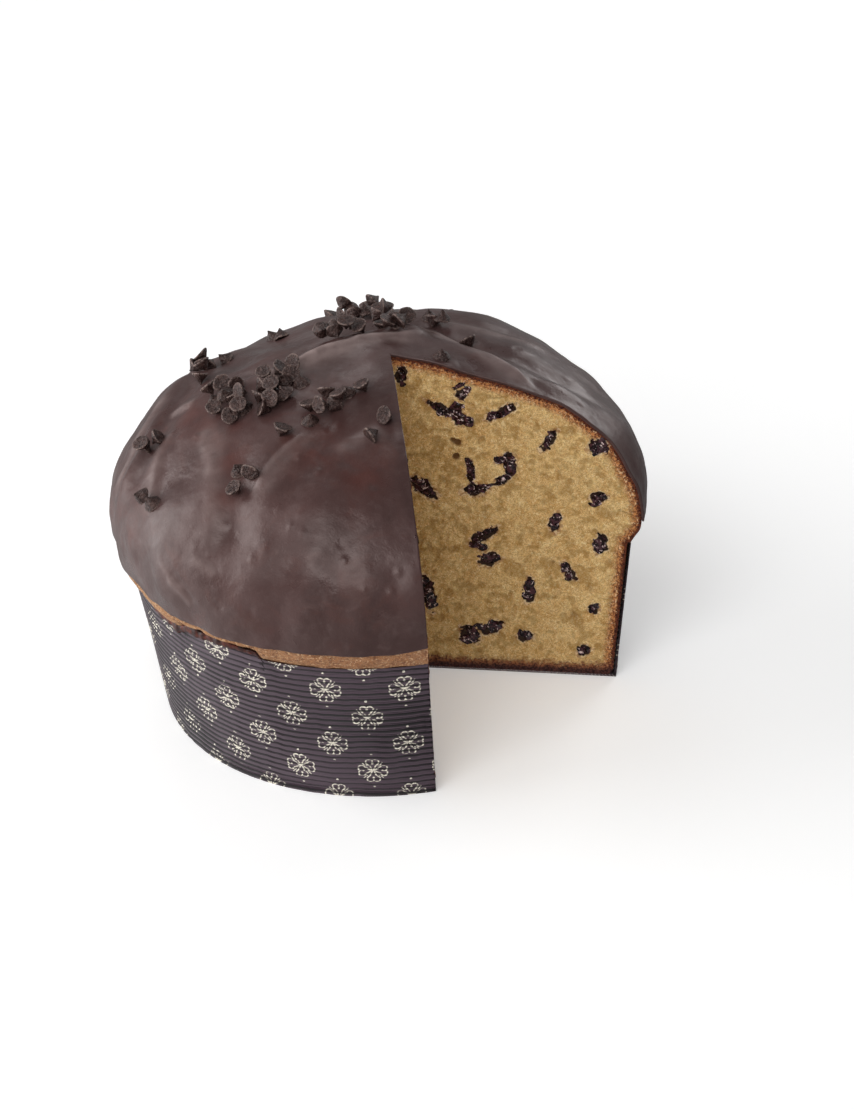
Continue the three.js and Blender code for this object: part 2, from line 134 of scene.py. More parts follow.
def make_sky():
    """A pale room, brighter towards the big window, with the lit table below it for the sheens."""
    world = bpy.data.worlds.new("pale_room")
    bpy.context.scene.world = world
    world.use_nodes = True
    tree = world.node_tree
    coordinates = tree.nodes.new("ShaderNodeTexCoord")
    parts = tree.nodes.new("ShaderNodeSeparateXYZ")
    tree.links.new(coordinates.outputs["Generated"], parts.inputs[0])

    def ramp(value, low, high, start, end):
        node = tree.nodes.new("ShaderNodeMapRange")
        sockets = ("From Min", "From Max", "To Min", "To Max")
        for socket, number in zip(sockets, (low, high, start, end)):
            node.inputs[socket].default_value = number
        tree.links.new(value, node.inputs["Value"])
        return node.outputs[0]

    def joined(operation, first, second):
        node = tree.nodes.new("ShaderNodeMath")
        node.operation = operation
        tree.links.new(first, node.inputs[0])
        tree.links.new(second, node.inputs[1])
        return node.outputs[0]

    sky = ramp(parts.outputs["X"], -SKY_SPAN, SKY_SPAN, SKY_LEFT, SKY_RIGHT)
    left = ramp(parts.outputs["X"], *SHINE_LEFT, 0, TABLE_SHINE)
    below = ramp(parts.outputs["Z"], *SHINE_DOWN, 0, 1)
    strength = joined("ADD", sky, joined("MULTIPLY", left, below))
    tree.links.new(strength, tree.nodes["Background"].inputs["Strength"])
    tree.nodes["Background"].inputs["Color"].default_value = (1, 1, 1, 1)


make_sky()
bpy.context.scene.view_settings.view_transform = "Standard"


def lay_floor():
    r = FLOOR_REACH
    mesh = bpy.data.meshes.new("white_table")
    mesh.from_pydata([(-r, -r, 0), (r, -r, 0), (r, r, 0), (-r, r, 0)], [], [(0, 1, 2, 3)])
    table = bpy.data.objects.new("white_table", mesh)
    bpy.context.collection.objects.link(table)
    paint = bpy.data.materials.new("white_table_top")
    paint.use_nodes = True
    shader = paint.node_tree.nodes["Principled BSDF"]
    shader.inputs["Base Color"].default_value = TABLE_WHITE
    shader.inputs["Roughness"].default_value = TABLE_ROUGHNESS
    shader.inputs["Emission Color"].default_value = (1, 1, 1, 1)
    shader.inputs["Emission Strength"].default_value = TABLE_GLOW
    mesh.materials.append(paint)
    table.visible_glossy = False


lay_floor()

# %% [markdown]
# ## Sizes of the loaf
#
# Everything is in millimetres here and turned into metres once, when a mesh is made. The case is a
# slightly flared cup. The dome is a round shoulder that rises to a flat crown and tucks in below,
# which is how dough swells over a rim. Its formula gives a point for every distance along the skin.

# %% Sizes of the case and the dome
MM = 0.001
CASE_BASE_RADIUS = 100
CASE_RIM_RADIUS = 108.5
CASE_HEIGHT = 69
CASE_SLOPE = (CASE_RIM_RADIUS - CASE_BASE_RADIUS) / CASE_HEIGHT

SHOULDER_RADIUS = 114.3
SHOULDER_Z = 81.7
DOME_TOP_Z = 155.9
ROUNDNESS_OUT = 1.5
ROUNDNESS_UP = 2.6
TUCK_DEPTH = 2.6
TUCK_HEIGHT = 4.6
TUCK_TURN = math.radians(34)
PROFILE_SAMPLES = 240


def dome_profile():
    """Distance along the skin from the top, radius, height and outward normal of the dome."""
    turn = math.pi / 2 * (1 - np.linspace(0, 1, PROFILE_SAMPLES + 1))
    radius = SHOULDER_RADIUS * np.cos(turn) ** (2 / ROUNDNESS_OUT)
    height = SHOULDER_Z + (DOME_TOP_Z - SHOULDER_Z) * np.sin(turn) ** (2 / ROUNDNESS_UP)
    radius[0] = 0
    tuck = TUCK_TURN * np.linspace(0, 1, PROFILE_SAMPLES // 10 + 1)[1:]
    radius = np.append(radius, SHOULDER_RADIUS - TUCK_DEPTH * (1 - np.cos(tuck)))
    height = np.append(height, SHOULDER_Z - TUCK_HEIGHT * np.sin(tuck))
    distance = np.append(0, np.cumsum(np.hypot(np.diff(radius), np.diff(height))))
    run, drop = np.gradient(radius), -np.gradient(height)
    length = np.hypot(run, drop)
    outward, upward = drop / length, run / length
    outward[0], upward[0] = 0, 1
    return distance, radius, height, outward, upward


PROFILE = dome_profile()
EDGE_DISTANCE = PROFILE[0][-1]
print("skin from the top to the chocolate's edge:", round(EDGE_DISTANCE, 1), "mm")

# %% [markdown]
# ## Folds of the dome
#
# The baker scored the dough, and it opened in folds while it rose. Each fold is an arc along the
# skin with a trough on it and a ridge beside it, both fading towards the ends. Sculpting by hand
# would give one result only, while a short list of arcs can be read, moved and made deeper.

# %% Folds, swells and slow waves
# A fold: from, to, bow, ridge, trough, width. A swell: place, reach, height. A wave: length, height,
# heading, phase. Places and lengths are millimetres along the skin.
FOLDS = [
    ((-64, 1), (36, 41), 1, 3.2, 3.4, 7.5),
    ((12, 40), (108, -2), -8, 2.0, 2.8, 8),
    ((-62, -12), (-67, -98), 5, 0.5, 1.7, 10),
    ((-70, 42), (-118, -40), 1, 1.3, 1.3, 6),
    ((-84, -18), (-101, -54), 1, 0.3, 0.6, 5),
    ((-64, -58), (-8, -40), 5, 0.6, 0.6, 8),
    ((-50, 16), (-98, 66), -5, 0.8, 2.2, 8),
    ((40, 84), (60, 136), 6, 1.4, 2.2, 9),
    ((-20, 86), (-26, 136), -5, 0.9, 1.8, 8),
]
FOLD_FADE = 0.4
RIDGE_ASIDE = 1.3
SWELLS = [
    ((-38, 58), 30, -4.6),
    ((52, 70), 30, 2.0),
    ((106, 30), 26, -1.4),
    ((-70, -96), 16, -0.9),
    ((-28, -86), 20, 0.9),
    ((-104, -64), 22, 0.8),
]
WAVES = [(64, 0.55, 0.4, 1.3), (47, 0.45, 2.1, 4.0), (31, 0.3, 1.2, 0.6), (26, 0.25, 2.8, 2.9)]


def bell(x):
    return np.exp(-x * x)


def ease(x):
    """0 below 0, 1 above 1, and a soft step between."""
    x = np.clip(x, 0, 1)
    return x * x * (3 - 2 * x)


def beside_arc(u, v, start, end, bow):
    """Distance from an arc, positive on its left, and how strong a fold along it is there."""
    start, end = np.array(start, float), np.array(end, float)
    half = np.hypot(*(end - start)) / 2
    radius = (half * half + bow * bow) / (2 * bow)
    left = np.array([start[1] - end[1], end[0] - start[0]]) / (2 * half)
    centre = (start + end) / 2 + left * (bow - radius)
    out_u, out_v = u - centre[0], v - centre[1]
    middle = left * np.sign(bow)
    forward = middle[0] * out_u + middle[1] * out_v
    sideways = middle[0] * out_v - middle[1] * out_u
    angle = np.abs(np.arctan2(sideways, forward))
    reach = math.atan2(half, abs(radius - bow))
    distance = np.sign(bow) * np.hypot(out_u, out_v) - radius
    return distance, ease((1 - angle / reach) / FOLD_FADE)


def mounds(u, v, places):
    """Height of round bumps and dents, each given by its place, reach and height."""
    height = np.zeros(np.shape(u))
    for (at_u, at_v), reach, rise in places:
        height = height + rise * bell(np.hypot(u - at_u, v - at_v) / reach)
    return height


def broad_relief(u, v):
    """Height of the folds, swells and waves over the smooth dome."""
    height = mounds(u, v, SWELLS)
    for *arc, ridge, trough, width in FOLDS:
        distance, strength = beside_arc(u, v, *arc)
        crest = ridge * bell(distance / width + RIDGE_ASIDE)
        height = height + strength * (crest - trough * bell(distance / width))
    for length, rise, heading, phase in WAVES:
        across = u * math.cos(heading) + v * math.sin(heading)
        height = height + rise * np.sin(2 * math.pi * across / length + phase)
    return height

# %% [markdown]
# ## Small unevenness
#
# Nothing baked or poured is quite smooth or straight. Blender's own noise works in materials, but the
# shapes here need it too. The helper below fills a grid with drawn numbers and blends between them,
# so bumps have a size in millimetres and come out the same every time.

# %% Soft noise
NOISE_TABLE = 128
MIDDLE_OF_WEDGE = math.radians(-50)


def soft_noise(x, y, size, seed):
    """Uneven values from -1 to 1 whose bumps are about one size wide."""
    table = np.random.default_rng(seed).uniform(-1, 1, (NOISE_TABLE, NOISE_TABLE))
    x, y = np.asarray(x, float) / size, np.asarray(y, float) / size
    column, row = np.floor(x).astype(int), np.floor(y).astype(int)
    across, up = ease(x - column), ease(y - row)

    def corner(i, j):
        return table[(column + i) % NOISE_TABLE, (row + j) % NOISE_TABLE]

    low = corner(0, 0) * (1 - across) + corner(1, 0) * across
    high = corner(0, 1) * (1 - across) + corner(1, 1) * across
    return low * (1 - up) + high * up


def layered(x, y, layers):
    """Sum of soft noises, each given by its amount, size and seed."""
    return sum(amount * soft_noise(x, y, size, seed) for amount, size, seed in layers)


def round_the_loaf(azimuth, radius):
    """Distance round the loaf for noise, counted so that its jump lies in the missing wedge."""
    return np.where(azimuth > MIDDLE_OF_WEDGE, azimuth - 2 * math.pi, azimuth) * radius


print("noise from", soft_noise(np.arange(99), 0, 2, 1).min().round(2), "up")

# %% [markdown]
# ## Creases, laps and pimples
#
# Where a fold stretched, the coat has thin creases, and where fresh chocolate ran over a set layer it
# stops in a lap: a gentle rise with a sharp drop behind. A brush could draw them in sculpt mode. As
# rows of numbers they use the same kind of arc as the folds, and their crests get a painted highlight.

# %% Creases, laps, dimples and pimples
# A crease: from, to, bow, ridge, trough, width. A lap: from, to, bow, height, reach.
CREASES = [
    ((-62, -14), (-70, -92), 3, 0.3, 0.35, 4.4),
    ((-70, -20), (-67, -56), 1, 0.25, 0.35, 2.8),
    ((-86, 30), (-124, -20), 2, 0.5, 0.5, 3.0),
    ((-84, -10), (-98, -56), -3, 0.4, 0.5, 3.2),
    ((-76, -4), (-92, 8), 2, 0.5, 0.5, 2.6),
    ((-20, -60), (6, -46), 2, 0.3, 0.3, 3.4),
    ((30, 48), (84, 40), -4, 0.5, 0.6, 3.4),
    ((-104, -76), (-96, -96), 1, 0.3, 0.5, 1.7),
    ((-102, -84), (-97, -104), 1, 0.3, 0.5, 1.7),
    ((-86, -84), (-76, -100), 1, 0.3, 0.4, 2.0),
]
CREASE_CREST = 1.4
LAPS = [
    ((-52, -5.5), (26, 21), 1, 1.0, 5.5),
    ((21, 42), (74, -17), 1, 0.8, 7),
    ((-56, -74), (-27, -45), 2, 0.35, 4),
]
LAP_EDGE = 0.8
PIMPLES = [(-76, -26), (-32, -60), (-68, -80), (-88, -14), (-24, -70), (-58, -100), (-10, -124)]
PIMPLES += [(2, -126), (6, -118), (-38, -93), (-33, -97), (-17, -111)]
PIMPLE_REACH = 1.5
PIMPLE_HEIGHT = 0.55


def scatter_dimples(draw, count, spread, reach, height):
    """Shallow dents and bumps at random places of the skin."""
    dimples = []
    for _ in range(count):
        dimples.append((draw.uniform(-spread, spread, 2), draw.uniform(*reach), draw.uniform(*height)))
    return dimples


dimple_draw = np.random.default_rng(5)
DIMPLES = scatter_dimples(dimple_draw, 150, 140, (2.2, 6.5), (-0.45, 0.4))
DIMPLES += scatter_dimples(dimple_draw, 170, 130, (1.4, 2.4), (-0.3, 0.28))
print("dimples:", len(DIMPLES))

# %% [markdown]
# ## The whole skin
#
# Up close, chocolate that set on a crust has shallow dents, pimples over bubbles, and faint runs down
# its sides. A displacement texture could add them, but the chips, crust and glaze must all agree on
# where the skin is. So one function gives any point of it, at any depth under the chocolate.

# %% Fine relief and points of the dome
SIDE_FROM = 70
SIDE_FADE = 50
SKIN_NOISE = [(0.20, 11, 21), (0.13, 6.3, 22)]
SLANTED_NOISE = [(0.05, 3.1, 23)]
SLANT = 0.6
RUN_NOISE = [(0.22, 7, 24)]
RUN_STRETCH = 5
SWAY_NOISE = [(0.9, 9, 25), (0.3, 3.5, 26)]


def beside_line(u, v, arc):
    """Distance from a line that sways a little about its arc, and its strength there."""
    distance, strength = beside_arc(u, v, *arc)
    return distance + layered(u, v, SWAY_NOISE), strength


def lapped(distance, reach):
    """A surface that rises gently to a line from its right and drops sharply behind it."""
    return -np.tanh(distance / LAP_EDGE) * np.exp(-np.abs(distance) / reach)


def fine_relief(u, v):
    """Dents, pimples, creases, laps and faint runs in the chocolate, in millimetres."""
    height = layered(u, v, SKIN_NOISE) + layered(u + SLANT * v, v, SLANTED_NOISE)
    side = ease((np.hypot(u, v) - SIDE_FROM) / SIDE_FADE)
    around = round_the_loaf(np.arctan2(v, u), SHOULDER_RADIUS)
    height = height + side * layered(around, np.hypot(u, v) / RUN_STRETCH, RUN_NOISE)
    height = height + mounds(u, v, DIMPLES)
    height = height + mounds(u, v, [(at, PIMPLE_REACH, PIMPLE_HEIGHT) for at in PIMPLES])
    for *arc, ridge, trough, width in CREASES:
        away, strength = beside_line(u, v, arc)
        away = away / width
        height = height + strength * (ridge * bell(away + CREASE_CREST) - trough * bell(away))
    for *arc, rise, reach in LAPS:
        away, strength = beside_line(u, v, arc)
        height = height + strength * rise * lapped(away, reach)
    return height


def dome_point(u, v, raised=0.0):
    """A point of the dome: u and v are distances along the skin, raised is off the chocolate."""
    distance, radius, height, outward, upward = PROFILE
    along, azimuth = np.hypot(u, v), np.arctan2(v, u)
    proud = broad_relief(u, v) + fine_relief(u, v) + raised
    r = np.interp(along, distance, radius) + np.interp(along, distance, outward) * proud
    z = np.interp(along, distance, height) + np.interp(along, distance, upward) * proud
    return np.stack([r * np.cos(azimuth), r * np.sin(azimuth), z], axis=-1)


def dome_normal(u, v, step=1.5):
    """Outward direction of the dome, taken over a few millimetres."""
    along_u = dome_point(u + step, v) - dome_point(u - step, v)
    along_v = dome_point(u, v + step) - dome_point(u, v - step)
    normal = np.cross(along_u, along_v)
    return normal / np.linalg.norm(normal, axis=-1, keepdims=True)


print("top of the dome:", dome_point(0.0, 0.0).round(1))

# %% [markdown]
# ## The cut
#
# A knife took out one wedge, whose point lies near the middle. A Boolean could cut it from a full
# dome, but it leaves ragged triangles along the cut. Instead every surface is laid out on rays from
# the wedge's point, from one cut round to the other, so its first and last rays lie in the cuts.

# %% Rays from the point of the wedge
WEDGE_POINT = np.array([9.4, -4.0])
CUT_LEFT = math.radians(-87.1)
CUT_RIGHT = math.radians(-13.1)
LOAF_SWEEP = 2 * math.pi - (CUT_RIGHT - CUT_LEFT)
HEADING_STEPS = 660
HEADINGS = CUT_RIGHT + LOAF_SWEEP * np.linspace(0, 1, HEADING_STEPS + 1)
GLAZE_EDGE_WAVE = 1.3
EDGE_HANGS = [(-138, 5, 1.8), (-124, 6, -0.9)]
FRAY_NOISE = [(0.35, 13, 31), (0.25, 4, 32)]
POINT_ROUNDS = 12
HEADING_ROUNDS = 7
REACH_ROUNDS = 4


def unit(heading):
    return np.stack([np.cos(heading), np.sin(heading)], axis=-1)


def azimuth_of(places):
    return np.arctan2(places[..., 1], places[..., 0])


def ray_to_circle(start, heading, radius):
    """How far a ray from start runs before it meets a circle about the loaf's axis."""
    inward = unit(heading) @ start
    return -inward + np.sqrt(inward**2 - start @ start + radius**2)


def edge_distance(azimuth):
    """Distance along the skin from the top to the chocolate's edge, which waves and frays a little."""
    wave = 0.5 * GLAZE_EDGE_WAVE * (np.sin(3 * azimuth) - 1)
    for at, reach, down in EDGE_HANGS:
        wave = wave + down * bell((azimuth - math.radians(at)) / math.radians(reach))
    return EDGE_DISTANCE + wave + layered(round_the_loaf(azimuth, SHOULDER_RADIUS), 0, FRAY_NOISE)


def wedge_point_on_skin(raised):
    """Where the vertical line through the wedge's point leaves the dome."""
    place = WEDGE_POINT.copy()
    for _ in range(POINT_ROUNDS):
        place = place + WEDGE_POINT - dome_point(place[0], place[1], raised)[:2]
    return place


def skin_places(shares, raised, headings=HEADINGS):
    """Places along the skin on every ray, at shares of the way from the wedge's point to the edge."""
    start = wedge_point_on_skin(raised)
    share = np.broadcast_to(shares, (len(headings), len(shares)))
    wanted = np.repeat(headings[:, None], len(shares), axis=1)
    heading = wanted.copy()
    for _ in range(HEADING_ROUNDS):
        reach = np.full(heading.shape, EDGE_DISTANCE)
        for _ in range(REACH_ROUNDS):
            end = start + reach[..., None] * unit(heading)
            reach = ray_to_circle(start, heading, edge_distance(azimuth_of(end)))
        place = start + (share * reach)[..., None] * unit(heading)
        point = dome_point(place[..., 0], place[..., 1], raised)
        error = wanted - azimuth_of(point[..., :2] - WEDGE_POINT)
        error = (error + math.pi) % (2 * math.pi) - math.pi
        heading = heading + error
    return place[..., 0], place[..., 1], point

# %% [markdown]
# ## From grids to meshes
#
# Almost every piece here is a grid of points that bends. A few helpers turn such grids into meshes:
# they list the faces of a grid, a tube or a fan, make the object, keep measured values on its points
# for the materials to read, and turn closed shells so that they all face outward.


# %% Mesh helpers
def grid_faces(rows, columns):
    """The faces of a grid whose points are stored row by row."""
    corner = np.arange((rows - 1) * columns).reshape(rows - 1, columns)[:, :-1].ravel()
    return np.stack([corner, corner + 1, corner + columns + 1, corner + columns], axis=1)


def tube_faces(rings, sides):
    """The faces of a tube whose rings of points are stored one after another."""
    here = np.arange(sides)
    after = (here + 1) % sides
    ring = np.stack([here, after, after + sides, here + sides], axis=1)
    return np.concatenate([ring + i * sides for i in range(rings - 1)]).tolist()


def pole_fans(rows, columns, first_pole, last_pole):
    """Triangles from one pole to the first column of a grid and from another to its last column."""
    starts = np.arange(rows - 1) * columns
    fans = [(first_pole, start, start + columns) for start in starts]
    return fans + [(last_pole, start + 2 * columns - 1, start + columns - 1) for start in starts]


def padded(numbers, count):
    """Numbers for the first points of a pile, and zeros for the rest."""
    numbers = np.asarray(numbers, float)
    return np.concatenate([numbers, np.zeros((count - len(numbers), *numbers.shape[1:]))])


def make_piece(name, points, faces, finishes, values=None, finish_index=None, smooth=True):
    """An object with its finishes, and the measured values of its points kept as attributes."""
    mesh = bpy.data.meshes.new(name)
    mesh.from_pydata((np.asarray(points) * MM).tolist(), [], [list(map(int, face)) for face in faces])
    for finish in finishes:
        mesh.materials.append(finish)
    if finish_index is not None:
        mesh.polygons.foreach_set("material_index", np.asarray(finish_index, dtype=np.int32))
    for key, numbers in (values or {}).items():
        flat = np.asarray(numbers, dtype=np.float32)
        kind = "FLOAT" if flat.ndim == 1 else "FLOAT_VECTOR"
        layer = mesh.attributes.new(key, kind, "POINT")
        layer.data.foreach_set("value" if flat.ndim == 1 else "vector", flat.ravel())
    mesh.polygons.foreach_set("use_smooth", np.full(len(mesh.polygons), smooth))
    mesh.update()
    piece = bpy.data.objects.new(name, mesh)
    bpy.context.collection.objects.link(piece)
    print(name, "points", len(mesh.vertices), "faces", len(mesh.polygons))
    return piece


def face_outward(piece):
    """Turns the faces of closed shells so that they all look outward."""
    bpy.ops.object.select_all(action="DESELECT")
    bpy.context.view_layer.objects.active = piece
    piece.select_set(True)
    bpy.ops.object.mode_set(mode="EDIT")
    bpy.ops.mesh.select_all(action="SELECT")
    bpy.ops.mesh.normals_make_consistent(inside=False)
    bpy.ops.object.mode_set(mode="OBJECT")


class Pile:
    """Collects points and faces of many parts into one mesh."""

    def __init__(self):
        self.points, self.faces, self.count = [], [], 0

    def add(self, points, faces):
        points = np.asarray(points, float).reshape(-1, 3)
        self.points.append(points)
        self.faces.extend((np.asarray(face) + self.count).tolist() for face in faces)
        self.count += len(points)
        return self.count - len(points)

    def all_points(self):
        return np.concatenate(self.points)

# %% [markdown]
# ## Finishes: a small kit
#
# Each finish is a little machine of nodes. Writing every node by hand hides the idea, so this kit
# has one word for each common step: read a value kept on the points, draw noise, mix two colours,
# do a sum. The finishes further down then read almost like a recipe.


# %% Kit for node materials
def srgb(red, green, blue):
    """A colour as seen on a screen, from 0 to 255, as the linear colour that shaders use."""
    part = np.array([red, green, blue]) / 255
    linear = np.where(part <= 0.04045, part / 12.92, ((part + 0.055) / 1.055) ** 2.4)
    return (*linear.tolist(), 1.0)


class Finish:
    """A new material, and short words for adding nodes to it."""

    def __init__(self, name):
        self.material = bpy.data.materials.new(name)
        self.material.use_nodes = True
        self.tree = self.material.node_tree
        self.surface = self.tree.nodes["Principled BSDF"]

    def feed(self, socket, value):
        if isinstance(value, bpy.types.NodeSocket):
            self.tree.links.new(value, socket)
        elif value is not None:
            socket.default_value = value

    def value(self, key, kind="Fac"):
        node = self.tree.nodes.new("ShaderNodeAttribute")
        node.attribute_name = key
        return node.outputs[kind]

    def places(self):
        return self.tree.nodes.new("ShaderNodeTexCoord").outputs["Object"]

    def noise(self, size, detail=2.0, roughness=0.5, warp=0.0, stretch=None):
        """Noise from 0 to 1 with bumps about one size wide, in millimetres."""
        node = self.tree.nodes.new("ShaderNodeTexNoise")
        place = self.places()
        if stretch:
            mapping = self.tree.nodes.new("ShaderNodeMapping")
            mapping.inputs["Scale"].default_value = stretch
            self.tree.links.new(place, mapping.inputs["Vector"])
            place = mapping.outputs[0]
        self.tree.links.new(place, node.inputs["Vector"])
        node.inputs["Scale"].default_value = 1 / (size * MM)
        node.inputs["Detail"].default_value = detail
        node.inputs["Roughness"].default_value = roughness
        node.inputs["Distortion"].default_value = warp
        return node.outputs["Fac"]

    def sum(self, operation, first, second=None):
        node = self.tree.nodes.new("ShaderNodeMath")
        node.operation = operation
        for socket, value in zip(node.inputs, (first, second)):
            self.feed(socket, value)
        return node.outputs[0]

    def times(self, first, second):
        return self.sum("MULTIPLY", first, second)

    def plus(self, first, second):
        return self.sum("ADD", first, second)

    def less(self, first, second):
        return self.sum("SUBTRACT", first, second)

    def step(self, value, low, high, start=0.0, end=1.0):
        """Takes low..high to start..end, softly, and stays there beyond."""
        node = self.tree.nodes.new("ShaderNodeMapRange")
        node.interpolation_type = "SMOOTHSTEP"
        sockets = ("Value", "From Min", "From Max", "To Min", "To Max")
        for socket, number in zip(sockets, (value, low, high, start, end)):
            self.feed(node.inputs[socket], number)
        return node.outputs[0]

    def blotches(self, size, low, high, detail=2.0, roughness=0.5, ends=(0.0, 1.0), **shape):
        """Noise with its soft change from the first end to the second between low and high."""
        return self.step(self.noise(size, detail, roughness, **shape), low, high, *ends)

    def mix(self, share, first, second):
        node = self.tree.nodes.new("ShaderNodeMix")
        node.data_type = "RGBA"
        self.feed(node.inputs["Factor"], share)
        self.feed(node.inputs["A"], first)
        self.feed(node.inputs["B"], second)
        return node.outputs["Result"]

    def cover(self, colour, *coats):
        """Lays coats over a colour, each given by where and how strongly it lies, and by its colour."""
        for share, coat in coats:
            colour = self.mix(share, colour, coat)
        return colour

    def split(self, vector):
        """The three numbers of a vector."""
        node = self.tree.nodes.new("ShaderNodeSeparateXYZ")
        self.tree.links.new(vector, node.inputs[0])
        return node.outputs

    def bumps(self, height, depth, strength=1.0):
        """Bump from a height of 0 to 1 that stands for depth millimetres."""
        node = self.tree.nodes.new("ShaderNodeBump")
        node.inputs["Distance"].default_value = depth * MM
        node.inputs["Strength"].default_value = strength
        self.tree.links.new(height, node.inputs["Height"])
        return node.outputs["Normal"]

    def done(self, colour, roughness, normal=None, **even):
        """Feeds the shader. Further names are its own sockets, and hold one value all over."""
        self.feed(self.surface.inputs["Base Color"], colour)
        self.feed(self.surface.inputs["Roughness"], roughness)
        self.feed(self.surface.inputs["Normal"], normal)
        for name, number in even.items():
            self.surface.inputs[name.replace("_", " ")].default_value = number
        return self.material

# %% [markdown]
# ## Finish of the chocolate
#
# Dark couverture is nearly black inside, but its skin is satin and carries a faint grey bloom where
# it cooled slowly, with warmer patches where the crust shines through a thin coat. Colour alone
# looks like plastic, so the roughness wanders too, and a fine bump breaks up the sheens.


# %% Dark chocolate, chips and the melted edge
COAT_DARK, COAT_LIGHT = srgb(64, 44, 42), srgb(76, 54, 52)
COAT_WARM, COAT_BLOOM = srgb(84, 49, 42), srgb(94, 76, 74)
COAT_THIN, COAT_CREST_HIGHLIGHT = srgb(82, 42, 36), srgb(168, 149, 145)
COAT_GLINT = (1.0, 0.86, 0.83, 1.0)
CHIP_DARK, CHIP_DUSTY = srgb(38, 21, 19), srgb(70, 48, 43)
CHIP_POWDER, CHIP_RIM_HIGHLIGHT = srgb(138, 116, 111), srgb(160, 138, 130)
CHIP_GLINT = (1.0, 0.9, 0.87, 1.0)
SNAPPED_DARK, SNAPPED_LIGHT, SNAPPED_GLINT = srgb(20, 7, 10), srgb(72, 38, 46), srgb(226, 202, 198)
MELT_DARK, MELT_THIN = srgb(44, 16, 11), srgb(100, 40, 24)
RED_PATCHES = [((-68, -26), 11), ((-63, -48), 9), ((-66, -68), 6), ((-126, -18), 14), ((-118, -46), 12)]
RED_PATCHES += [((-24, -58), 14), ((-80, -8), 9), ((-6, -76), 10), ((40, 100), 16), ((104, 44), 14)]
# strength and reach of the painted highlight on the crests of creases and laps
CREASE_HIGHLIGHT, CREASE_HIGHLIGHT_REACH = 0.7, 1.2
LAP_CREST_HIGHLIGHT, LAP_CREST, LAP_CREST_REACH = 0.6, 1.4, 1.5
LAP_SLOPE_HIGHLIGHT, LAP_SLOPE, LAP_SLOPE_REACH = 0.5, 5, 4


def red_tint(u, v):
    """Places where the coat is thin and the crust shines through, from 0 to 1."""
    return np.clip(mounds(u, v, [(at, reach, 1) for at, reach in RED_PATCHES]), 0, 1)


def crest_highlight_and_wear(u, v):
    """Painted highlight on a crest, where the coat is also rougher, from 0 to 1."""
    highlight_and_wear = np.zeros(np.shape(u))
    for *arc, ridge, _, width in CREASES:
        away, strength = beside_line(u, v, arc)
        crest = bell((away / width + CREASE_CREST) / CREASE_HIGHLIGHT_REACH)
        highlight_and_wear = highlight_and_wear + CREASE_HIGHLIGHT * strength * ridge * crest
    for *arc, rise, _ in LAPS:
        away, strength = beside_line(u, v, arc)
        crest = LAP_CREST_HIGHLIGHT * bell((away + LAP_CREST) / LAP_CREST_REACH)
        slope = LAP_SLOPE_HIGHLIGHT * bell((away + LAP_SLOPE) / LAP_SLOPE_REACH)
        highlight_and_wear = highlight_and_wear + strength * rise * (crest + slope)
    return np.clip(highlight_and_wear, 0, 1)


def glaze_finish():
    finish = Finish("dark_chocolate_glaze")
    colour = finish.mix(finish.blotches(38, 0.35, 0.65, 3, 0.55, warp=0.6), COAT_DARK, COAT_LIGHT)
    thin = finish.times(finish.value("red_tint"), finish.blotches(9, 0.25, 0.65, warp=0.5))
    # painted highlight on the crests, where the coat is also rougher
    highlight_and_wear = finish.times(finish.value("crest_highlight_and_wear"), finish.blotches(6, 0.2, 0.7, ends=(0.5, 1.0)))
    colour = finish.cover(
        colour,
        (finish.times(finish.blotches(17, 0.52, 0.74, 3, 0.6, warp=0.8), 0.34), COAT_WARM),
        (finish.times(finish.blotches(7, 0.45, 0.75, 4, 0.65, warp=0.4), 0.34), COAT_BLOOM),
        (finish.times(thin, 0.65), COAT_THIN),
        (finish.times(highlight_and_wear, 0.85), COAT_CREST_HIGHLIGHT),
    )
    roughness = finish.blotches(13, 0.32, 0.68, 4, 0.6, (0.27, 0.48), warp=0.5)
    roughness = finish.plus(roughness, finish.times(highlight_and_wear, 0.12))
    grain = finish.plus(finish.noise(3.2, 3, 0.55), finish.times(finish.noise(0.7), 0.25))
    normal = finish.bumps(grain, 0.35, 0.5)
    return finish.done(colour, roughness, normal, Specular_IOR_Level=0.44, Specular_Tint=COAT_GLINT)


def chip_finish():
    finish = Finish("bloomed_chocolate_chip")
    dusty = finish.blotches(2.6, 0.42, 0.66, 4, 0.75)
    colour = finish.mix(dusty, CHIP_DARK, CHIP_DUSTY)
    powder = finish.blotches(0.6, 0.52, 0.64, 3, 0.7)
    colour = finish.mix(finish.times(powder, 0.4), colour, CHIP_POWDER)
    # painted highlight on the rim of the foot, which also stands for rubbed bloom
    rim_highlight = finish.blotches(1.3, 0.38, 0.6, 3, 0.6, (0.05, 0.7))
    colour = finish.mix(finish.times(finish.value("rim_highlight_and_wear"), rim_highlight), colour, CHIP_RIM_HIGHLIGHT)
    roughness = finish.step(dusty, 0, 1, 0.36, 0.52)
    lumps = finish.plus(finish.noise(1.7, 3, 0.6), finish.times(finish.noise(0.6, 2), 0.35))
    normal = finish.bumps(lumps, 1.2, 0.9)
    return finish.done(colour, roughness, normal, Specular_IOR_Level=0.38, Specular_Tint=CHIP_GLINT)


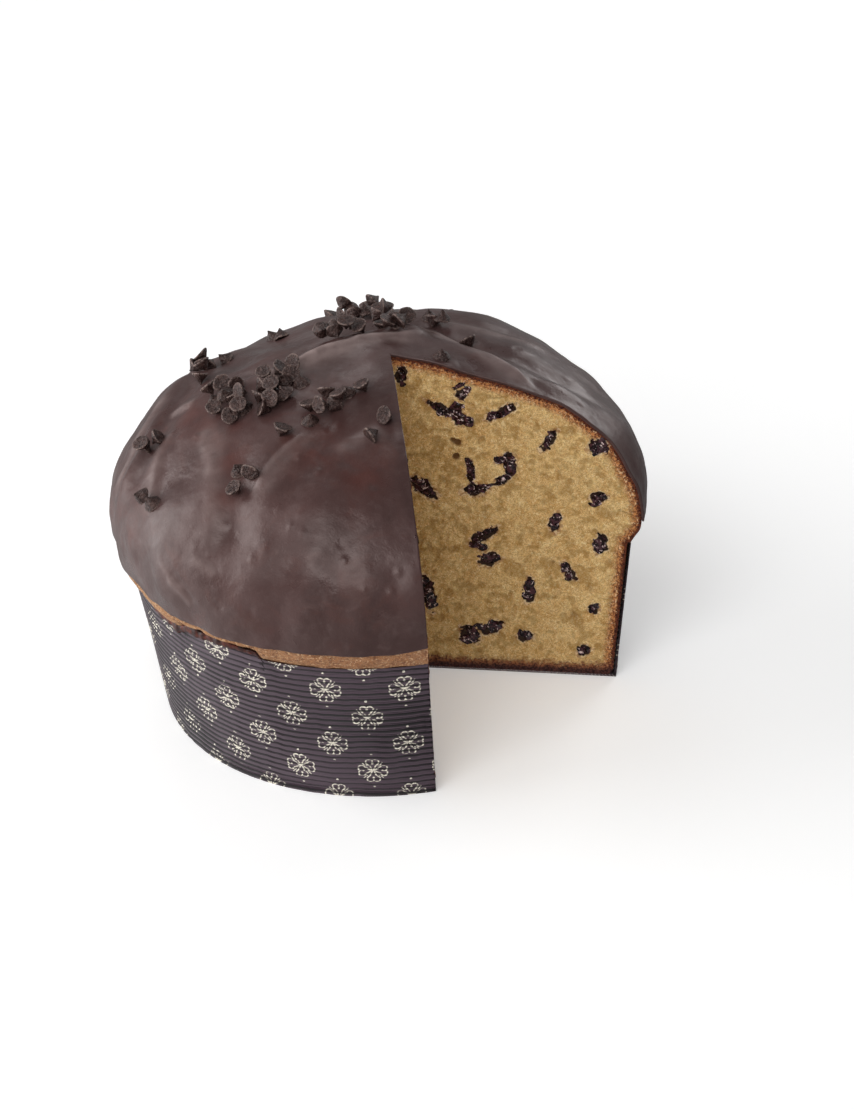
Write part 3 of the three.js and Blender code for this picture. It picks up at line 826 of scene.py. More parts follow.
def cut_chip_finish():
    finish = Finish("broken_chocolate")
    flecks = finish.blotches(2.0, 0.45, 0.62, 3, 0.65, warp=0.6)
    colour = finish.mix(flecks, SNAPPED_DARK, SNAPPED_LIGHT)
    # pale specks are painted glints on the broken chocolate
    painted_glints = finish.blotches(1.9, 0.6, 0.64, 2, 0.6, warp=1.2)
    painted_glints = finish.times(painted_glints, finish.blotches(0.8, 0.4, 0.55, ends=(0.15, 0.95)))
    colour = finish.mix(painted_glints, colour, SNAPPED_GLINT)
    roughness = finish.step(flecks, 0, 1, 0.2, 0.5)
    normal = finish.bumps(finish.noise(0.7, 3, 0.6), 0.1, 0.5)
    return finish.done(colour, roughness, normal, Specular_IOR_Level=0.3)


def melt_finish():
    finish = Finish("melted_chocolate_edge")
    colour = finish.mix(finish.blotches(3, 0.4, 0.7, 3, 0.6), MELT_DARK, MELT_THIN)
    return finish.done(colour, 0.42, finish.bumps(finish.noise(1.5), 0.3, 0.6), Specular_IOR_Level=0.28)


glaze_chocolate = glaze_finish()
chip_chocolate = chip_finish()
cut_chocolate = cut_chip_finish()
melted_chocolate = melt_finish()

# %% [markdown]
# ## Glaze
#
# The glaze is a shell a good millimetre thick, so its cut edge shows as a thin dark line above the
# crust. A single sheet would look like paint. Here the outer grid turns over a rounded bead at the
# lower edge into a coarser inner grid, and strips close the shell along both cuts.

# %% Shell of chocolate
GLAZE_THICKNESS = 1.1
GLAZE_BEAD = 0.8
BEAD_STEPS = 6
OUTWARD_STEPS = 160
INNER_SKIP = 5


def make_glaze():
    shares = np.linspace(0, 1, OUTWARD_STEPS + 1)[1:]
    skin_u, skin_v, outer = skin_places(shares, 0.0)
    inner = skin_places(shares[INNER_SKIP - 1 :: INNER_SKIP], -GLAZE_THICKNESS)[2]
    middle = (outer[:, -1] + inner[:, -1]) / 2
    half = outer[:, -1] - middle
    down = outer[:, -1] - outer[:, -2]
    down = down / np.linalg.norm(down, axis=1, keepdims=True)
    turns = np.linspace(0, math.pi, BEAD_STEPS + 1)[1:-1]
    bead = np.stack([middle + half * math.cos(a) + down * GLAZE_BEAD * math.sin(a) for a in turns], axis=1)
    ribbon = np.concatenate([outer, bead, inner[:, ::-1]], axis=1)
    rows, columns = ribbon.shape[:2]
    pile = Pile()
    pile.add(ribbon, grid_faces(rows, columns))
    top = dome_point(*wedge_point_on_skin(0.0))
    under = dome_point(*wedge_point_on_skin(-GLAZE_THICKNESS), -GLAZE_THICKNESS)
    pole = pile.add([top, under], [])
    pile.faces += pole_fans(rows, columns, pole, pole + 1)
    pile.faces += cut_strip(0, columns, pole) + cut_strip(rows - 1, columns, pole)[::-1]
    values = {}
    for key, shown in (("red_tint", red_tint), ("crest_highlight_and_wear", crest_highlight_and_wear)):
        on_grid = np.pad(shown(skin_u, skin_v), ((0, 0), (0, columns - OUTWARD_STEPS)))
        values[key] = padded(on_grid.ravel(), pile.count)
    glaze = make_piece("chocolate_glaze", pile.all_points(), pile.faces, [glaze_chocolate], values)
    face_outward(glaze)
    return glaze


def cut_strip(row, columns, pole):
    """Closes the shell along a cut, from the wedge's point out to the bead."""
    start = row * columns
    outer_end = start + OUTWARD_STEPS - 1
    last = start + columns - 1
    faces = [(pole, pole + 1, last, *range(start + INNER_SKIP - 1, start - 1, -1))]
    for i in range(OUTWARD_STEPS // INNER_SKIP - 1):
        outside = range(start + (i + 2) * INNER_SKIP - 1, start + (i + 1) * INNER_SKIP - 2, -1)
        faces.append((last - i, last - i - 1, *outside))
    faces.append(tuple(range(outer_end, outer_end + BEAD_STEPS + 1)))
    return faces


glaze = make_glaze()

# %% [markdown]
# ## Outside of the crumb
#
# Under the chocolate the loaf has a thin crust. It fills the paper cup, swells out over the rim as
# a tan lip, and only that lip stays bare. The outside is one sheet of rings on the same rays as the
# glaze. The lip gets most rings, because it is the only part of it that anyone sees.

# %% Crust rings
CASE_FLOOR = 1.0
PAPER_THICKNESS = 0.6
RIB_DEPTH = 1.0
CRUST_GAP = 0.05
CRUST_UNDER_GLAZE = GLAZE_THICKNESS + CRUST_GAP
LIP_LOW_Z = CASE_HEIGHT + 0.5
LIP_RADIUS = CASE_RIM_RADIUS - 0.1
LIP_STEPS = 30
HOLLOW_FROM = math.radians(-142.5)
HOLLOW_TO = math.radians(-118.5)
HOLLOW_TOP = 0.66
HOLLOW_DEPTH = 3.2
HOLLOW_ENDS = (6, 14)
HOLLOW_BROW = 0.12
HOLLOW_EDGE_NOISE = [(0.08, 3.5, 46)]
KNOB_NOISE = [(0.4, 6, 41), (0.22, 2.4, 42)]
KNOB_STRETCH = 9
KNOB_LEAST = 0.2
SAG_NOISE = [(0.5, 21, 43), (0.5, 6, 44)]
LIP_SWELL = 1.8
LIP_UNDER_GLAZE = 0.3
RING_ROUNDS = 6
FLOOR_RING_SHARES = (0.35, 0.7)
FOOT_ROUNDING = 3.0
FOOT_RINGS = 5
WALL_FROM = 12
WALL_BELOW_RIM = 0.6
WALL_RINGS = 8
LIP_START = len(FLOOR_RING_SHARES) + FOOT_RINGS + WALL_RINGS
TOP_RINGS = 61
TOP_CROWDING = 1.3


def outer_case_radius(z):
    return CASE_BASE_RADIUS + CASE_SLOPE * z


def inner_case_radius(z):
    return outer_case_radius(z) - RIB_DEPTH - PAPER_THICKNESS


def ring_on_rays(radius, z, headings=HEADINGS):
    """Points at a radius about the axis, which may change with the azimuth, on every ray."""
    azimuth = headings
    for _ in range(RING_ROUNDS):
        reach = ray_to_circle(WEDGE_POINT, headings, radius(azimuth) if callable(radius) else radius)
        plan = WEDGE_POINT + reach[:, None] * unit(headings)
        azimuth = azimuth_of(plan)
    height = z(azimuth) if callable(z) else np.full(len(headings), float(z))
    return np.column_stack([plan, height])


def hollow(azimuth):
    """1 where the crust lifted off the rim at the left and left a hollow, 0 elsewhere."""
    inside = (azimuth - HOLLOW_FROM) / (HOLLOW_TO - HOLLOW_FROM)
    return ease(inside * HOLLOW_ENDS[0]) * ease((1 - inside) * HOLLOW_ENDS[1])


def hollow_edge(azimuth):
    """How far up the lip the hollow reaches, as a share of the lip, ragged like torn crust."""
    return HOLLOW_TOP + layered(round_the_loaf(azimuth, LIP_RADIUS), 0, HOLLOW_EDGE_NOISE)


def lip_top(azimuth):
    """Radius and height of the crust just under the chocolate's edge."""
    along = edge_distance(azimuth) - LIP_UNDER_GLAZE
    top = dome_point(along * np.cos(azimuth), along * np.sin(azimuth), -CRUST_UNDER_GLAZE)
    return np.hypot(top[..., 0], top[..., 1]), top[..., 2]


def lip_ring(share):
    """A ring of the bare lip, at a share of the way from the rim of the case to the chocolate."""

    def radius(azimuth):
        around = round_the_loaf(azimuth, LIP_RADIUS)
        knobs = layered(around, KNOB_STRETCH * share, KNOB_NOISE)
        swell = (lip_top(azimuth)[0] - LIP_RADIUS) * (1 - (1 - share) ** LIP_SWELL)
        recess = HOLLOW_DEPTH * hollow(azimuth) * ease((hollow_edge(azimuth) - share) / HOLLOW_BROW)
        knobs = knobs * (KNOB_LEAST + math.sin(math.pi * share)) * (1 - share**4)
        return LIP_RADIUS + swell + knobs - recess

    def height(azimuth):
        sag = layered(round_the_loaf(azimuth, LIP_RADIUS), 0, SAG_NOISE)
        return LIP_LOW_Z + (lip_top(azimuth)[1] - LIP_LOW_Z) * share + (1 - share) * sag

    return ring_on_rays(radius, height)


def crust_rings():
    """Rings of the crust from the wedge's point at the bottom round to its point at the top."""
    fit = inner_case_radius(0) - CRUST_GAP
    bottom = CASE_FLOOR + CRUST_GAP
    rings = [ring_on_rays(fit * share, bottom) for share in FLOOR_RING_SHARES]
    for turn in np.linspace(0, math.pi / 2, FOOT_RINGS):
        z = bottom + FOOT_ROUNDING * (1 - math.cos(turn))
        rings.append(ring_on_rays(fit - FOOT_ROUNDING * (1 - math.sin(turn)) + CASE_SLOPE * z, z))
    for z in np.linspace(WALL_FROM, CASE_HEIGHT - WALL_BELOW_RIM, WALL_RINGS):
        rings.append(ring_on_rays(fit + CASE_SLOPE * z, z))
    rings += [lip_ring(share) for share in np.linspace(0, 1, LIP_STEPS + 1)]
    shares = 1 - np.linspace(0, 1, TOP_RINGS + 1)[:-1] ** TOP_CROWDING
    skin = skin_places(shares, -CRUST_UNDER_GLAZE)[2]
    return np.concatenate([np.stack(rings, axis=1), skin], axis=1)


crust = crust_rings()
print("crust rings:", crust.shape)

# %% [markdown]
# ## Cut faces
#
# A knife leaves a face that is flat as a whole and torn in detail: pores of many sizes, softly
# swollen walls between them, and chocolate chips that broke rather than sliced. The chips come first.
# Those that show are measured rows, and a rule spreads more where nothing was seen.

# %% Chips that the cuts go through
# A chip: along the cut, height, length, width, turn in degrees.
RIGHT_CUT_CHIPS = [
    [4, 146, 8, 4.5, 86],
    [28.5, 142, 5.5, 1.5, 31],
    [29.5, 138, 6, 4.5, 25],
    [19.5, 130.5, 12.5, 4, -34],
    [27, 127.5, 10, 6.5, -47],
    [45.5, 130, 14, 4, 29],
    [9.5, 92, 14.5, 6, -42],
    [31, 101.5, 10, 4, -87],
    [32.5, 92, 11, 5.5, 11],
    [40.5, 94.5, 8.5, 1.5, 18],
    [46, 107.5, 8.5, 4.5, 21],
    [48.5, 103.5, 8.5, 3.5, 78],
    [45, 98, 7.5, 4, 34],
    [34.5, 69, 13, 4.5, 35],
    [32.5, 64, 7.5, 4.5, -31],
    [37, 57.5, 9, 6, 21],
    [8.5, 39, 16.5, 6, -82],
    [53.5, 42.5, 11.5, 4.5, 83],
    [26, 18.5, 9, 8.5, 18],
    [35.5, 22.5, 12, 6, 23],
    [51, 19, 6.5, 4.5, 20],
]
CUT_CHIP_SPACING = 20
CUT_CHIP_LENGTH = 5.5
CUT_CHIP_LENGTH_SPREAD = 7
CUT_CHIP_WIDTH = 3.5
CUT_CHIP_WIDTH_SPREAD = 2.5
CUT_CHIP_EDGE_CLEARANCE = 8
CUT_CHIP_LOWEST = 10
RIGHT_CUT_RULE_STARTS = 60
LEFT_CUT_RULE_STARTS = 9
CUT_CHIP_TRIES = 900
SOLID_WALL = 1.6
PROFILE_ROUNDS = 8
DRAW_FACTOR, DRAW_STEP, DRAW_RANGE = 1664525, 1013904223, 4294967296


class Draw:
    """The same fixed run of numbers from 0 to 1 as the solid model uses."""

    def __init__(self, first):
        self.state = first

    def __call__(self):
        self.state = (self.state * DRAW_FACTOR + DRAW_STEP) % DRAW_RANGE
        return self.state / DRAW_RANGE


def loaf_top(x, y):
    """Height of the smooth dome over a place in plan."""
    distance = math.hypot(x, y)
    for _ in range(PROFILE_ROUNDS):
        distance += math.hypot(x, y) - np.interp(distance, PROFILE[0], PROFILE[1])
    return np.interp(distance, PROFILE[0], PROFILE[2])


def spread_cut_chips(cut, starts, taken, draw):
    """Adds chips beyond the ones that are known, clear of the crust, the case and each other."""
    chips = list(taken)
    for _ in range(CUT_CHIP_TRIES):
        along = starts + (CASE_BASE_RADIUS - starts) * draw()
        z = CUT_CHIP_LOWEST + (DOME_TOP_Z - CUT_CHIP_LOWEST) * draw()
        length = CUT_CHIP_LENGTH + CUT_CHIP_LENGTH_SPREAD * draw()
        width = CUT_CHIP_WIDTH + CUT_CHIP_WIDTH_SPREAD * draw()
        turn = 180 * draw()
        x, y = WEDGE_POINT + along * unit(cut)
        wall = outer_case_radius(z) - SOLID_WALL - CUT_CHIP_EDGE_CLEARANCE
        inside = math.hypot(x, y) < wall and z < loaf_top(x, y) - CUT_CHIP_EDGE_CLEARANCE
        if inside and all(math.hypot(along - c[0], z - c[1]) > CUT_CHIP_SPACING for c in chips):
            chips.append([along, z, length, width, turn])
    return chips


draw = Draw(11)
right_chips = spread_cut_chips(CUT_RIGHT, RIGHT_CUT_RULE_STARTS, RIGHT_CUT_CHIPS, draw)
left_chips = spread_cut_chips(CUT_LEFT, LEFT_CUT_RULE_STARTS, [], draw)
print("chips in the right cut:", len(right_chips), "in the left cut:", len(left_chips))

# %% [markdown]
# ## Relief of a cut face
#
# Gas left bubbles of all sizes in the dough, and the knife tore their walls a little. Modelling each
# pore would take millions of faces. On a flat map a pore is one short formula, pressed in over a few
# cells, and the map also notes how deep each place lies and where chocolate smeared, for the finish.

# %% Map of pores, strands and beds
MAP_STEP = 0.25
MAP_WIDTH = 116
MAP_HEIGHT = 162
# A kind of pore: count, radius, depth. A big pore: along, up, length, width, turn.
PORE_KINDS = [
    (5200, (0.25, 0.6), 0.32),
    (640, (0.6, 1.1), 0.5),
    (60, (1.1, 1.9), 0.7),
]
BIG_PORES = [(25.3, 115.2, 3.0, 1.8, -19), (25.0, 107.6, 2.1, 1.75, 0)]
BIG_PORE_DEPTH = 2.2
CHIP_BED_DEPTH = 1.1
BED_REACH, BED_EDGE, BED_FADE = 0.9, 1.05, 0.2
SMEAR_SHARE, SMEAR_EDGE, SMEAR_FADE = 0.35, 1.5, 0.4
STAIN_EDGE, STAIN_EDGE_FADE = 1.06, 0.1
WARP_NOISE = [(0.7, 2.6, 0), (0.3, 1.1, 1)]
RISE_NOISE = [(0.35, 14, 4)]
GRAIN_NOISE = [(0.14, 1.3, 6), (0.08, 0.6, 7)]
TORN_NOISE = [(0.22, 1.7, 9), (0.16, 0.8, 10)]
SWELL_SIZE, SWELL_HEIGHT, SWELL_SEED = 3.6, 0.42, 5
LUMP_SIZE, LUMP_HEIGHT, LUMP_SEED = 1.8, 0.24, 11
STRAND_SIZE, STRAND_DEPTH, STRAND_WIDTH, STRAND_SEED = 3.4, 0.25, 0.12, 8
STRAND_SLANT = 0.4
DIP_SWELLS, DIP_LUMPS, DIP_FROM, DIP_FADE = 0.55, 0.45, 0.05, 0.3
PORE_RIM, PORE_RIM_AT, PORE_RIM_REACH = 0.08, 1.15, 0.18
PORE_STRETCH = (1.0, 2.2)
PORE_LEAN = 0.7
PORE_DEPTHS = (0.5, 1.2)


class CutFaceMap:
    """Height of a cut face over a flat map, how deep each place lies in a pore, and chip stains."""

    def __init__(self, seed, chips, big_pores):
        self.seed = seed
        columns, rows = int(MAP_WIDTH / MAP_STEP), int(MAP_HEIGHT / MAP_STEP)
        self.along, self.up = np.meshgrid(np.arange(columns) * MAP_STEP, np.arange(rows) * MAP_STEP)
        self.warp_along = self.along + self.noise(WARP_NOISE)
        self.warp_up = self.up + self.noise(WARP_NOISE, 2)
        swells = soft_noise(self.warp_along, self.warp_up, SWELL_SIZE, seed + SWELL_SEED)
        lumps = soft_noise(self.warp_along, self.warp_up, LUMP_SIZE, seed + LUMP_SEED)
        # painted shade for the dips between swells and lumps
        self.dip_shade = ease((-DIP_SWELLS * swells - DIP_LUMPS * lumps - DIP_FROM) / DIP_FADE)
        self.height = self.noise(RISE_NOISE) + SWELL_HEIGHT * swells + LUMP_HEIGHT * lumps
        self.height = self.height + self.noise(GRAIN_NOISE)
        leaning = self.warp_along + STRAND_SLANT * self.warp_up
        strand = np.abs(soft_noise(leaning, self.warp_up, STRAND_SIZE, seed + STRAND_SEED))
        self.height = self.height - STRAND_DEPTH * bell(strand / STRAND_WIDTH)
        self.pore = np.zeros(self.along.shape)
        self.stain = np.zeros(self.along.shape)
        self.punch_pores(np.random.default_rng(seed), big_pores)
        self.bed_chips(chips)

    def noise(self, layers, later=0):
        """Layers of soft noise over the map, whose seeds are counted from the map's own."""
        return layered(self.along, self.up, [(a, size, self.seed + k + later) for a, size, k in layers])

    def window(self, along, up, reach):
        """The part of the map that lies round a place."""
        low_row, high_row = int((up - reach) / MAP_STEP), int((up + reach) / MAP_STEP) + 2
        low_column, high_column = int((along - reach) / MAP_STEP), int((along + reach) / MAP_STEP) + 2
        return slice(max(low_row, 0), max(high_row, 0)), slice(max(low_column, 0), max(high_column, 0))

    def ellipse(self, part, along, up, length, width, turn):
        """0 at the middle and 1 on the edge of a ragged ellipse."""
        x, y = self.warp_along[part] - along, self.warp_up[part] - up
        c, s = math.cos(turn), math.sin(turn)
        return np.hypot((x * c + y * s) / length, (y * c - x * s) / width)

    def punch(self, along, up, length, width, turn, depth):
        """Presses a bowl with a slightly raised rim into the face."""
        part = self.window(along, up, 1.5 * max(length, width) + 1)
        away = self.ellipse(part, along, up, length, width, turn)
        bowl = depth * np.sqrt(np.clip(1 - away**2, 0, 1))
        rim = PORE_RIM * depth * bell((away - PORE_RIM_AT) / PORE_RIM_REACH)
        self.height[part] = self.height[part] - bowl + rim
        self.pore[part] = np.maximum(self.pore[part], bowl)

    def punch_pores(self, spread, big_pores):
        """Strews the kinds of pores, stretched upward as dough rises, and then the known big ones."""
        for count, radius, depth in PORE_KINDS:
            for _ in range(count):
                along, up = spread.uniform(0, MAP_WIDTH), spread.uniform(0, MAP_HEIGHT)
                width = spread.uniform(*radius)
                length = width * spread.uniform(*PORE_STRETCH)
                turn = math.pi / 2 + spread.normal(0, PORE_LEAN)
                self.punch(along, up, length, width, turn, depth * spread.uniform(*PORE_DEPTHS))
        for along, up, length, width, turn in big_pores:
            self.punch(along, up, length, width, math.radians(turn), BIG_PORE_DEPTH)

    def bed_chips(self, chips):
        """Each chip lies in a torn bed with chocolate smeared round it."""
        torn = self.noise(TORN_NOISE)
        for along, z, length, width, turn in chips:
            part = self.window(along, z, BED_REACH * length + 2)
            away = self.ellipse(part, along, z, 0.5 * length, 0.5 * width, math.radians(turn))
            away = away + torn[part]
            bed = ease((BED_EDGE - away) / BED_FADE)
            self.height[part] = self.height[part] * (1 - bed) - CHIP_BED_DEPTH * bed
            self.pore[part] = self.pore[part] * (1 - bed)
            smear = SMEAR_SHARE * ease((SMEAR_EDGE - away) / SMEAR_FADE)
            stain = smear + (1 - SMEAR_SHARE) * ease((STAIN_EDGE - away) / STAIN_EDGE_FADE)
            self.stain[part] = np.maximum(self.stain[part], stain)

    def sample(self, layer, along, up):
        """Values of a layer of the map at places between its points."""
        x = np.clip(along / MAP_STEP, 0, layer.shape[1] - 2)
        y = np.clip(up / MAP_STEP, 0, layer.shape[0] - 2)
        column, row = x.astype(int), y.astype(int)
        across, rise = x - column, y - row
        low = layer[row, column] * (1 - across) + layer[row, column + 1] * across
        high = layer[row + 1, column] * (1 - across) + layer[row + 1, column + 1] * across
        return low * (1 - rise) + high * rise


right_map = CutFaceMap(101, right_chips, BIG_PORES)
left_map = CutFaceMap(202, left_chips, [])
print("deepest pore:", round(float(right_map.pore.max()), 1), "mm")

# %% [markdown]
# ## Grid of a cut face
#
# The face is bounded by the bottom, the paper wall and lip, the dome, and the line where both cuts
# meet. A flat grid would need trimming along those curves. A grid blended from its four edges, known
# as a Coons patch, follows them exactly, so the face meets the crust without a step.

# %% Lay out the cut faces
FACE_COLUMNS = 190
FACE_ROWS = 280
SPLIT_SHARE = 0.34
EDGE_FADE = 0.8
CORNER_WITHIN = 12
OUTLINE_POINTS = 3000


def resample(line, count):
    """The same line with evenly spaced points."""
    run = np.append(0, np.cumsum(np.linalg.norm(np.diff(line, axis=0), axis=1)))
    wanted = np.linspace(0, run[-1], count)
    return np.stack([np.interp(wanted, run, line[:, i]) for i in range(line.shape[1])], axis=1)


def face_outline(section, cut):
    """Outline of a cut, as distance from the wedge's point and height: four edges of the patch."""
    out = (section[:, :2] - WEDGE_POINT) @ unit(cut)
    line = np.column_stack([out, section[:, 2]])
    start, top = np.array([0.0, line[0, 1]]), np.array([0.0, wedge_top])
    corner = int(np.argmax(line[:CORNER_WITHIN, 0] - line[:CORNER_WITHIN, 1]))
    split = int(len(line) * (1 - SPLIT_SHARE))
    bottom = np.vstack([start, line[: corner + 1]])
    side = line[corner : split + 1]
    dome = np.vstack([line[split:], top])[::-1]
    return bottom, side, dome


def face_grid(section, cut):
    """The patch between the four edges of a cut, and the outline of the crust round it."""
    bottom, side, dome = face_outline(section, cut)
    low, high = resample(bottom, FACE_COLUMNS), resample(dome, FACE_COLUMNS)
    right = resample(side, FACE_ROWS)
    left = np.column_stack([np.zeros(FACE_ROWS), np.linspace(low[0, 1], high[0, 1], FACE_ROWS)])
    a = np.linspace(0, 1, FACE_COLUMNS)[None, :, None]
    b = np.linspace(0, 1, FACE_ROWS)[:, None, None]
    ruled_up = (1 - b) * low[None] + b * high[None]
    ruled_across = (1 - a) * left[:, None] + a * right[:, None]
    low_corners = (1 - a) * low[0] + a * low[-1]
    corners = (1 - b) * low_corners + b * ((1 - a) * high[0] + a * high[-1])
    return ruled_up + ruled_across - corners, np.vstack([bottom, side, dome[::-1]])


def depth_under(places, outline):
    """Distance of each place of a cut from the crust's outer edge."""
    fine = resample(outline, OUTLINE_POINTS)
    tree = kdtree.KDTree(len(fine))
    for i, (out, up) in enumerate(fine):
        tree.insert((out, up, 0), i)
    tree.balance()
    return np.array([tree.find((out, up, 0))[2] for out, up in places])


def cut_face(section, cut, face_map, into_loaf):
    """Points of a cut face and the values that its finish reads."""
    grid, outline = face_grid(section, cut)
    out, up = grid[..., 0].ravel(), grid[..., 1].ravel()
    depth = depth_under(zip(out, up), outline)
    to_edge = np.minimum(depth, out)
    fade = ease(to_edge / EDGE_FADE)
    height = face_map.sample(face_map.height, out, up) * fade
    plan = WEDGE_POINT + out[:, None] * unit(cut) - height[:, None] * into_loaf
    values = {
        "crust_depth": depth,
        "pore_depth": face_map.sample(face_map.pore, out, up) * fade,
        "chip_stain": face_map.sample(face_map.stain, out, up),
        "crumb_dip_shade": face_map.sample(face_map.dip_shade, out, up) * fade,
    }
    return np.column_stack([plan, up]), values


wedge_top = dome_point(*wedge_point_on_skin(-CRUST_UNDER_GLAZE), -CRUST_UNDER_GLAZE)[2]
INTO_LOAF_RIGHT = unit(CUT_RIGHT + math.pi / 2)
INTO_LOAF_LEFT = unit(CUT_LEFT - math.pi / 2)
right_face = cut_face(crust[0], CUT_RIGHT, right_map, INTO_LOAF_RIGHT)
left_face = cut_face(crust[-1], CUT_LEFT, left_map, INTO_LOAF_LEFT)
print("cut face grid step:", round(float(np.linalg.norm(right_face[0][1] - right_face[0][0])), 2), "mm")

# %% [markdown]
# ## Finish of the crumb
#
# Egg-rich dough bakes to a golden yellow with paler blotches, and its pores and dips get painted shade.
# Towards the outside it browns: orange for a few millimetres under the dome, and almost black where
# the base stood on the hot tray. The points carry their depth under the crust, so the toasting is exact.


# %% Crumb and crust
CRUMB_GOLD, CRUMB_CREAM, CRUMB_DULL = srgb(226, 182, 116), srgb(248, 214, 150), srgb(182, 136, 72)
STRAND_BROWN, FIBRE_BROWN = srgb(172, 124, 62), srgb(150, 100, 46)
WALL_PALE, DIP_SHADE, PORE_SHADE = srgb(252, 230, 178), srgb(158, 116, 54), srgb(100, 62, 30)
TOASTED, TOASTED_PALE = (srgb(208, 140, 84), srgb(116, 58, 36)), srgb(246, 210, 164)
BURNT = (srgb(112, 54, 32), srgb(56, 22, 17))
SCORCHED = (srgb(150, 92, 62), srgb(84, 40, 34))
CHARRED = (srgb(84, 50, 46), srgb(44, 24, 24))
TORN = (srgb(248, 222, 184), srgb(138, 80, 58))
CHIP_SMEAR = srgb(36, 15, 18)
CRUST_TAN, CRUST_BROWN, CRUST_FRONT_SHADE = srgb(214, 166, 114), srgb(186, 134, 84), srgb(156, 98, 60)
CRUST_SPECK, CRUST_FLOUR, SMEAR_AND_HOLLOW_SHADE = srgb(112, 64, 40), srgb(234, 194, 150), srgb(74, 34, 24)
CRUMB_GLOW = (0.003, 0.0018, 0.0008)


def crumb_finish():
    finish = Finish("golden_crumb")
    depth, stain = finish.value("crust_depth"), finish.value("chip_stain")
    up = finish.split(finish.places())["Z"]

    def ragged(amount, size, strength):
        wander = finish.less(finish.noise(size, 3, 0.7), 0.5)
        return finish.plus(amount, finish.times(wander, strength))

    strands = finish.blotches(2.1, 0.45, 0.56, 4, 0.68, warp=3.2)
    fibres = finish.blotches(0.9, 0.56, 0.64, 2, 0.6, warp=3.0, stretch=(0.5, 0.5, 1.3))
    pale = finish.blotches(1.8, 0.54, 0.61, 3, 0.66, warp=2.8)
    colour = finish.mix(finish.blotches(6, 0.34, 0.66, 4, 0.65, warp=0.9), CRUMB_GOLD, CRUMB_CREAM)
    colour = finish.cover(
        colour,
        (finish.times(strands, 0.58), STRAND_BROWN),
        (finish.times(fibres, 0.25), FIBRE_BROWN),
        (finish.blotches(3.2, 0.5, 0.7, 3, 0.6, (0, 0.35), warp=0.8), CRUMB_DULL),
        (finish.times(pale, 0.75), WALL_PALE),
        # painted shade in the dips
        (finish.times(finish.value("crumb_dip_shade"), 0.5), DIP_SHADE),
        # painted shade inside the pores, darker the deeper they are
        (finish.step(finish.value("pore_depth"), 0.25, 1.6, 0, 0.9), PORE_SHADE),
    )
    speckle = finish.blotches(1.0, 0.44, 0.56, 3, 0.75)
    flakes = finish.blotches(1.3, 0.57, 0.63, 3, 0.6, (0, 0.85), warp=0.8)
    toasted = finish.mix(flakes, finish.mix(speckle, *TOASTED), TOASTED_PALE)
    torn = finish.mix(finish.blotches(2.4, 0.44, 0.56, 3, 0.6, warp=1.0), *TORN)
    colour = finish.cover(
        colour,
        (finish.step(ragged(depth, 1.8, 5.5), 2.2, 6.4, 0.97, 0), toasted),
        (finish.step(ragged(depth, 1.1, 4.0), 1.0, 2.0, 0.97, 0), finish.mix(speckle, *BURNT)),
        (finish.step(ragged(up, 1.8, 0.008), 0.0045, 0.0085, 0.85, 0), finish.mix(speckle, *SCORCHED)),
        (finish.step(ragged(up, 1.4, 0.004), 0.0026, 0.0046, 0.95, 0), finish.mix(speckle, *CHARRED)),
        (finish.step(stain, 0.04, 0.3, 0, 0.55), torn),
        (finish.step(stain, 0.4, 0.75, 0, 0.95), CHIP_SMEAR),
    )
    grain = finish.plus(finish.noise(0.9, 3, 0.7, warp=0.8), finish.noise(0.35, 2))
    return finish.done(
        colour,
        0.85,
        finish.bumps(grain, 0.6, 1.0),
        Subsurface_Weight=0.12,
        Subsurface_Radius=CRUMB_GLOW,
        Specular_IOR_Level=0.25,
    )


def crust_finish():
    finish = Finish("baked_crust")
    blotches = finish.blotches(5, 0.35, 0.7, 4, 0.65, warp=0.4)
    colour = finish.cover(
        finish.mix(blotches, CRUST_TAN, CRUST_BROWN),
        # painted shade on the lip, strongest in front
        (finish.times(finish.value("front_shade"), 0.72), CRUST_FRONT_SHADE),
        (finish.times(finish.blotches(1.4, 0.49, 0.6, 4, 0.75, warp=0.6), 0.68), CRUST_SPECK),
        (finish.times(finish.blotches(1.0, 0.56, 0.64), 0.55), CRUST_FLOUR),
        (finish.times(finish.value("smear_and_hollow_shade"), 0.85), SMEAR_AND_HOLLOW_SHADE),
    )
    grain = finish.plus(finish.noise(1.4, 4, 0.65), finish.noise(0.5, 2))
    return finish.done(colour, finish.step(blotches, 0, 1, 0.6, 0.75), finish.bumps(grain, 1.1, 1.0))


golden_crumb = crumb_finish()
baked_crust = crust_finish()

# %% [markdown]
# ## The loaf as one piece
#
# Crust and both cut faces are joined in one mesh with two finishes. They aren't welded, because the
# cut faces are much finer than the crust, but both follow the same outline, so no gap shows.


# %% Join crust and cut faces
HOLLOW_PALER = math.radians(-133)
PALER_FADE = math.radians(4)
PALER_BY = 0.45
# where the painted shade on the lip is strongest
FRONT_SHADE_AT = math.radians(-70)
SMEAR_IN_CASE = 0.6
SMEAR_FROM = 0.93
SMEAR_ABOVE, SMEAR_ABOVE_FADE = 0.02, 0.06


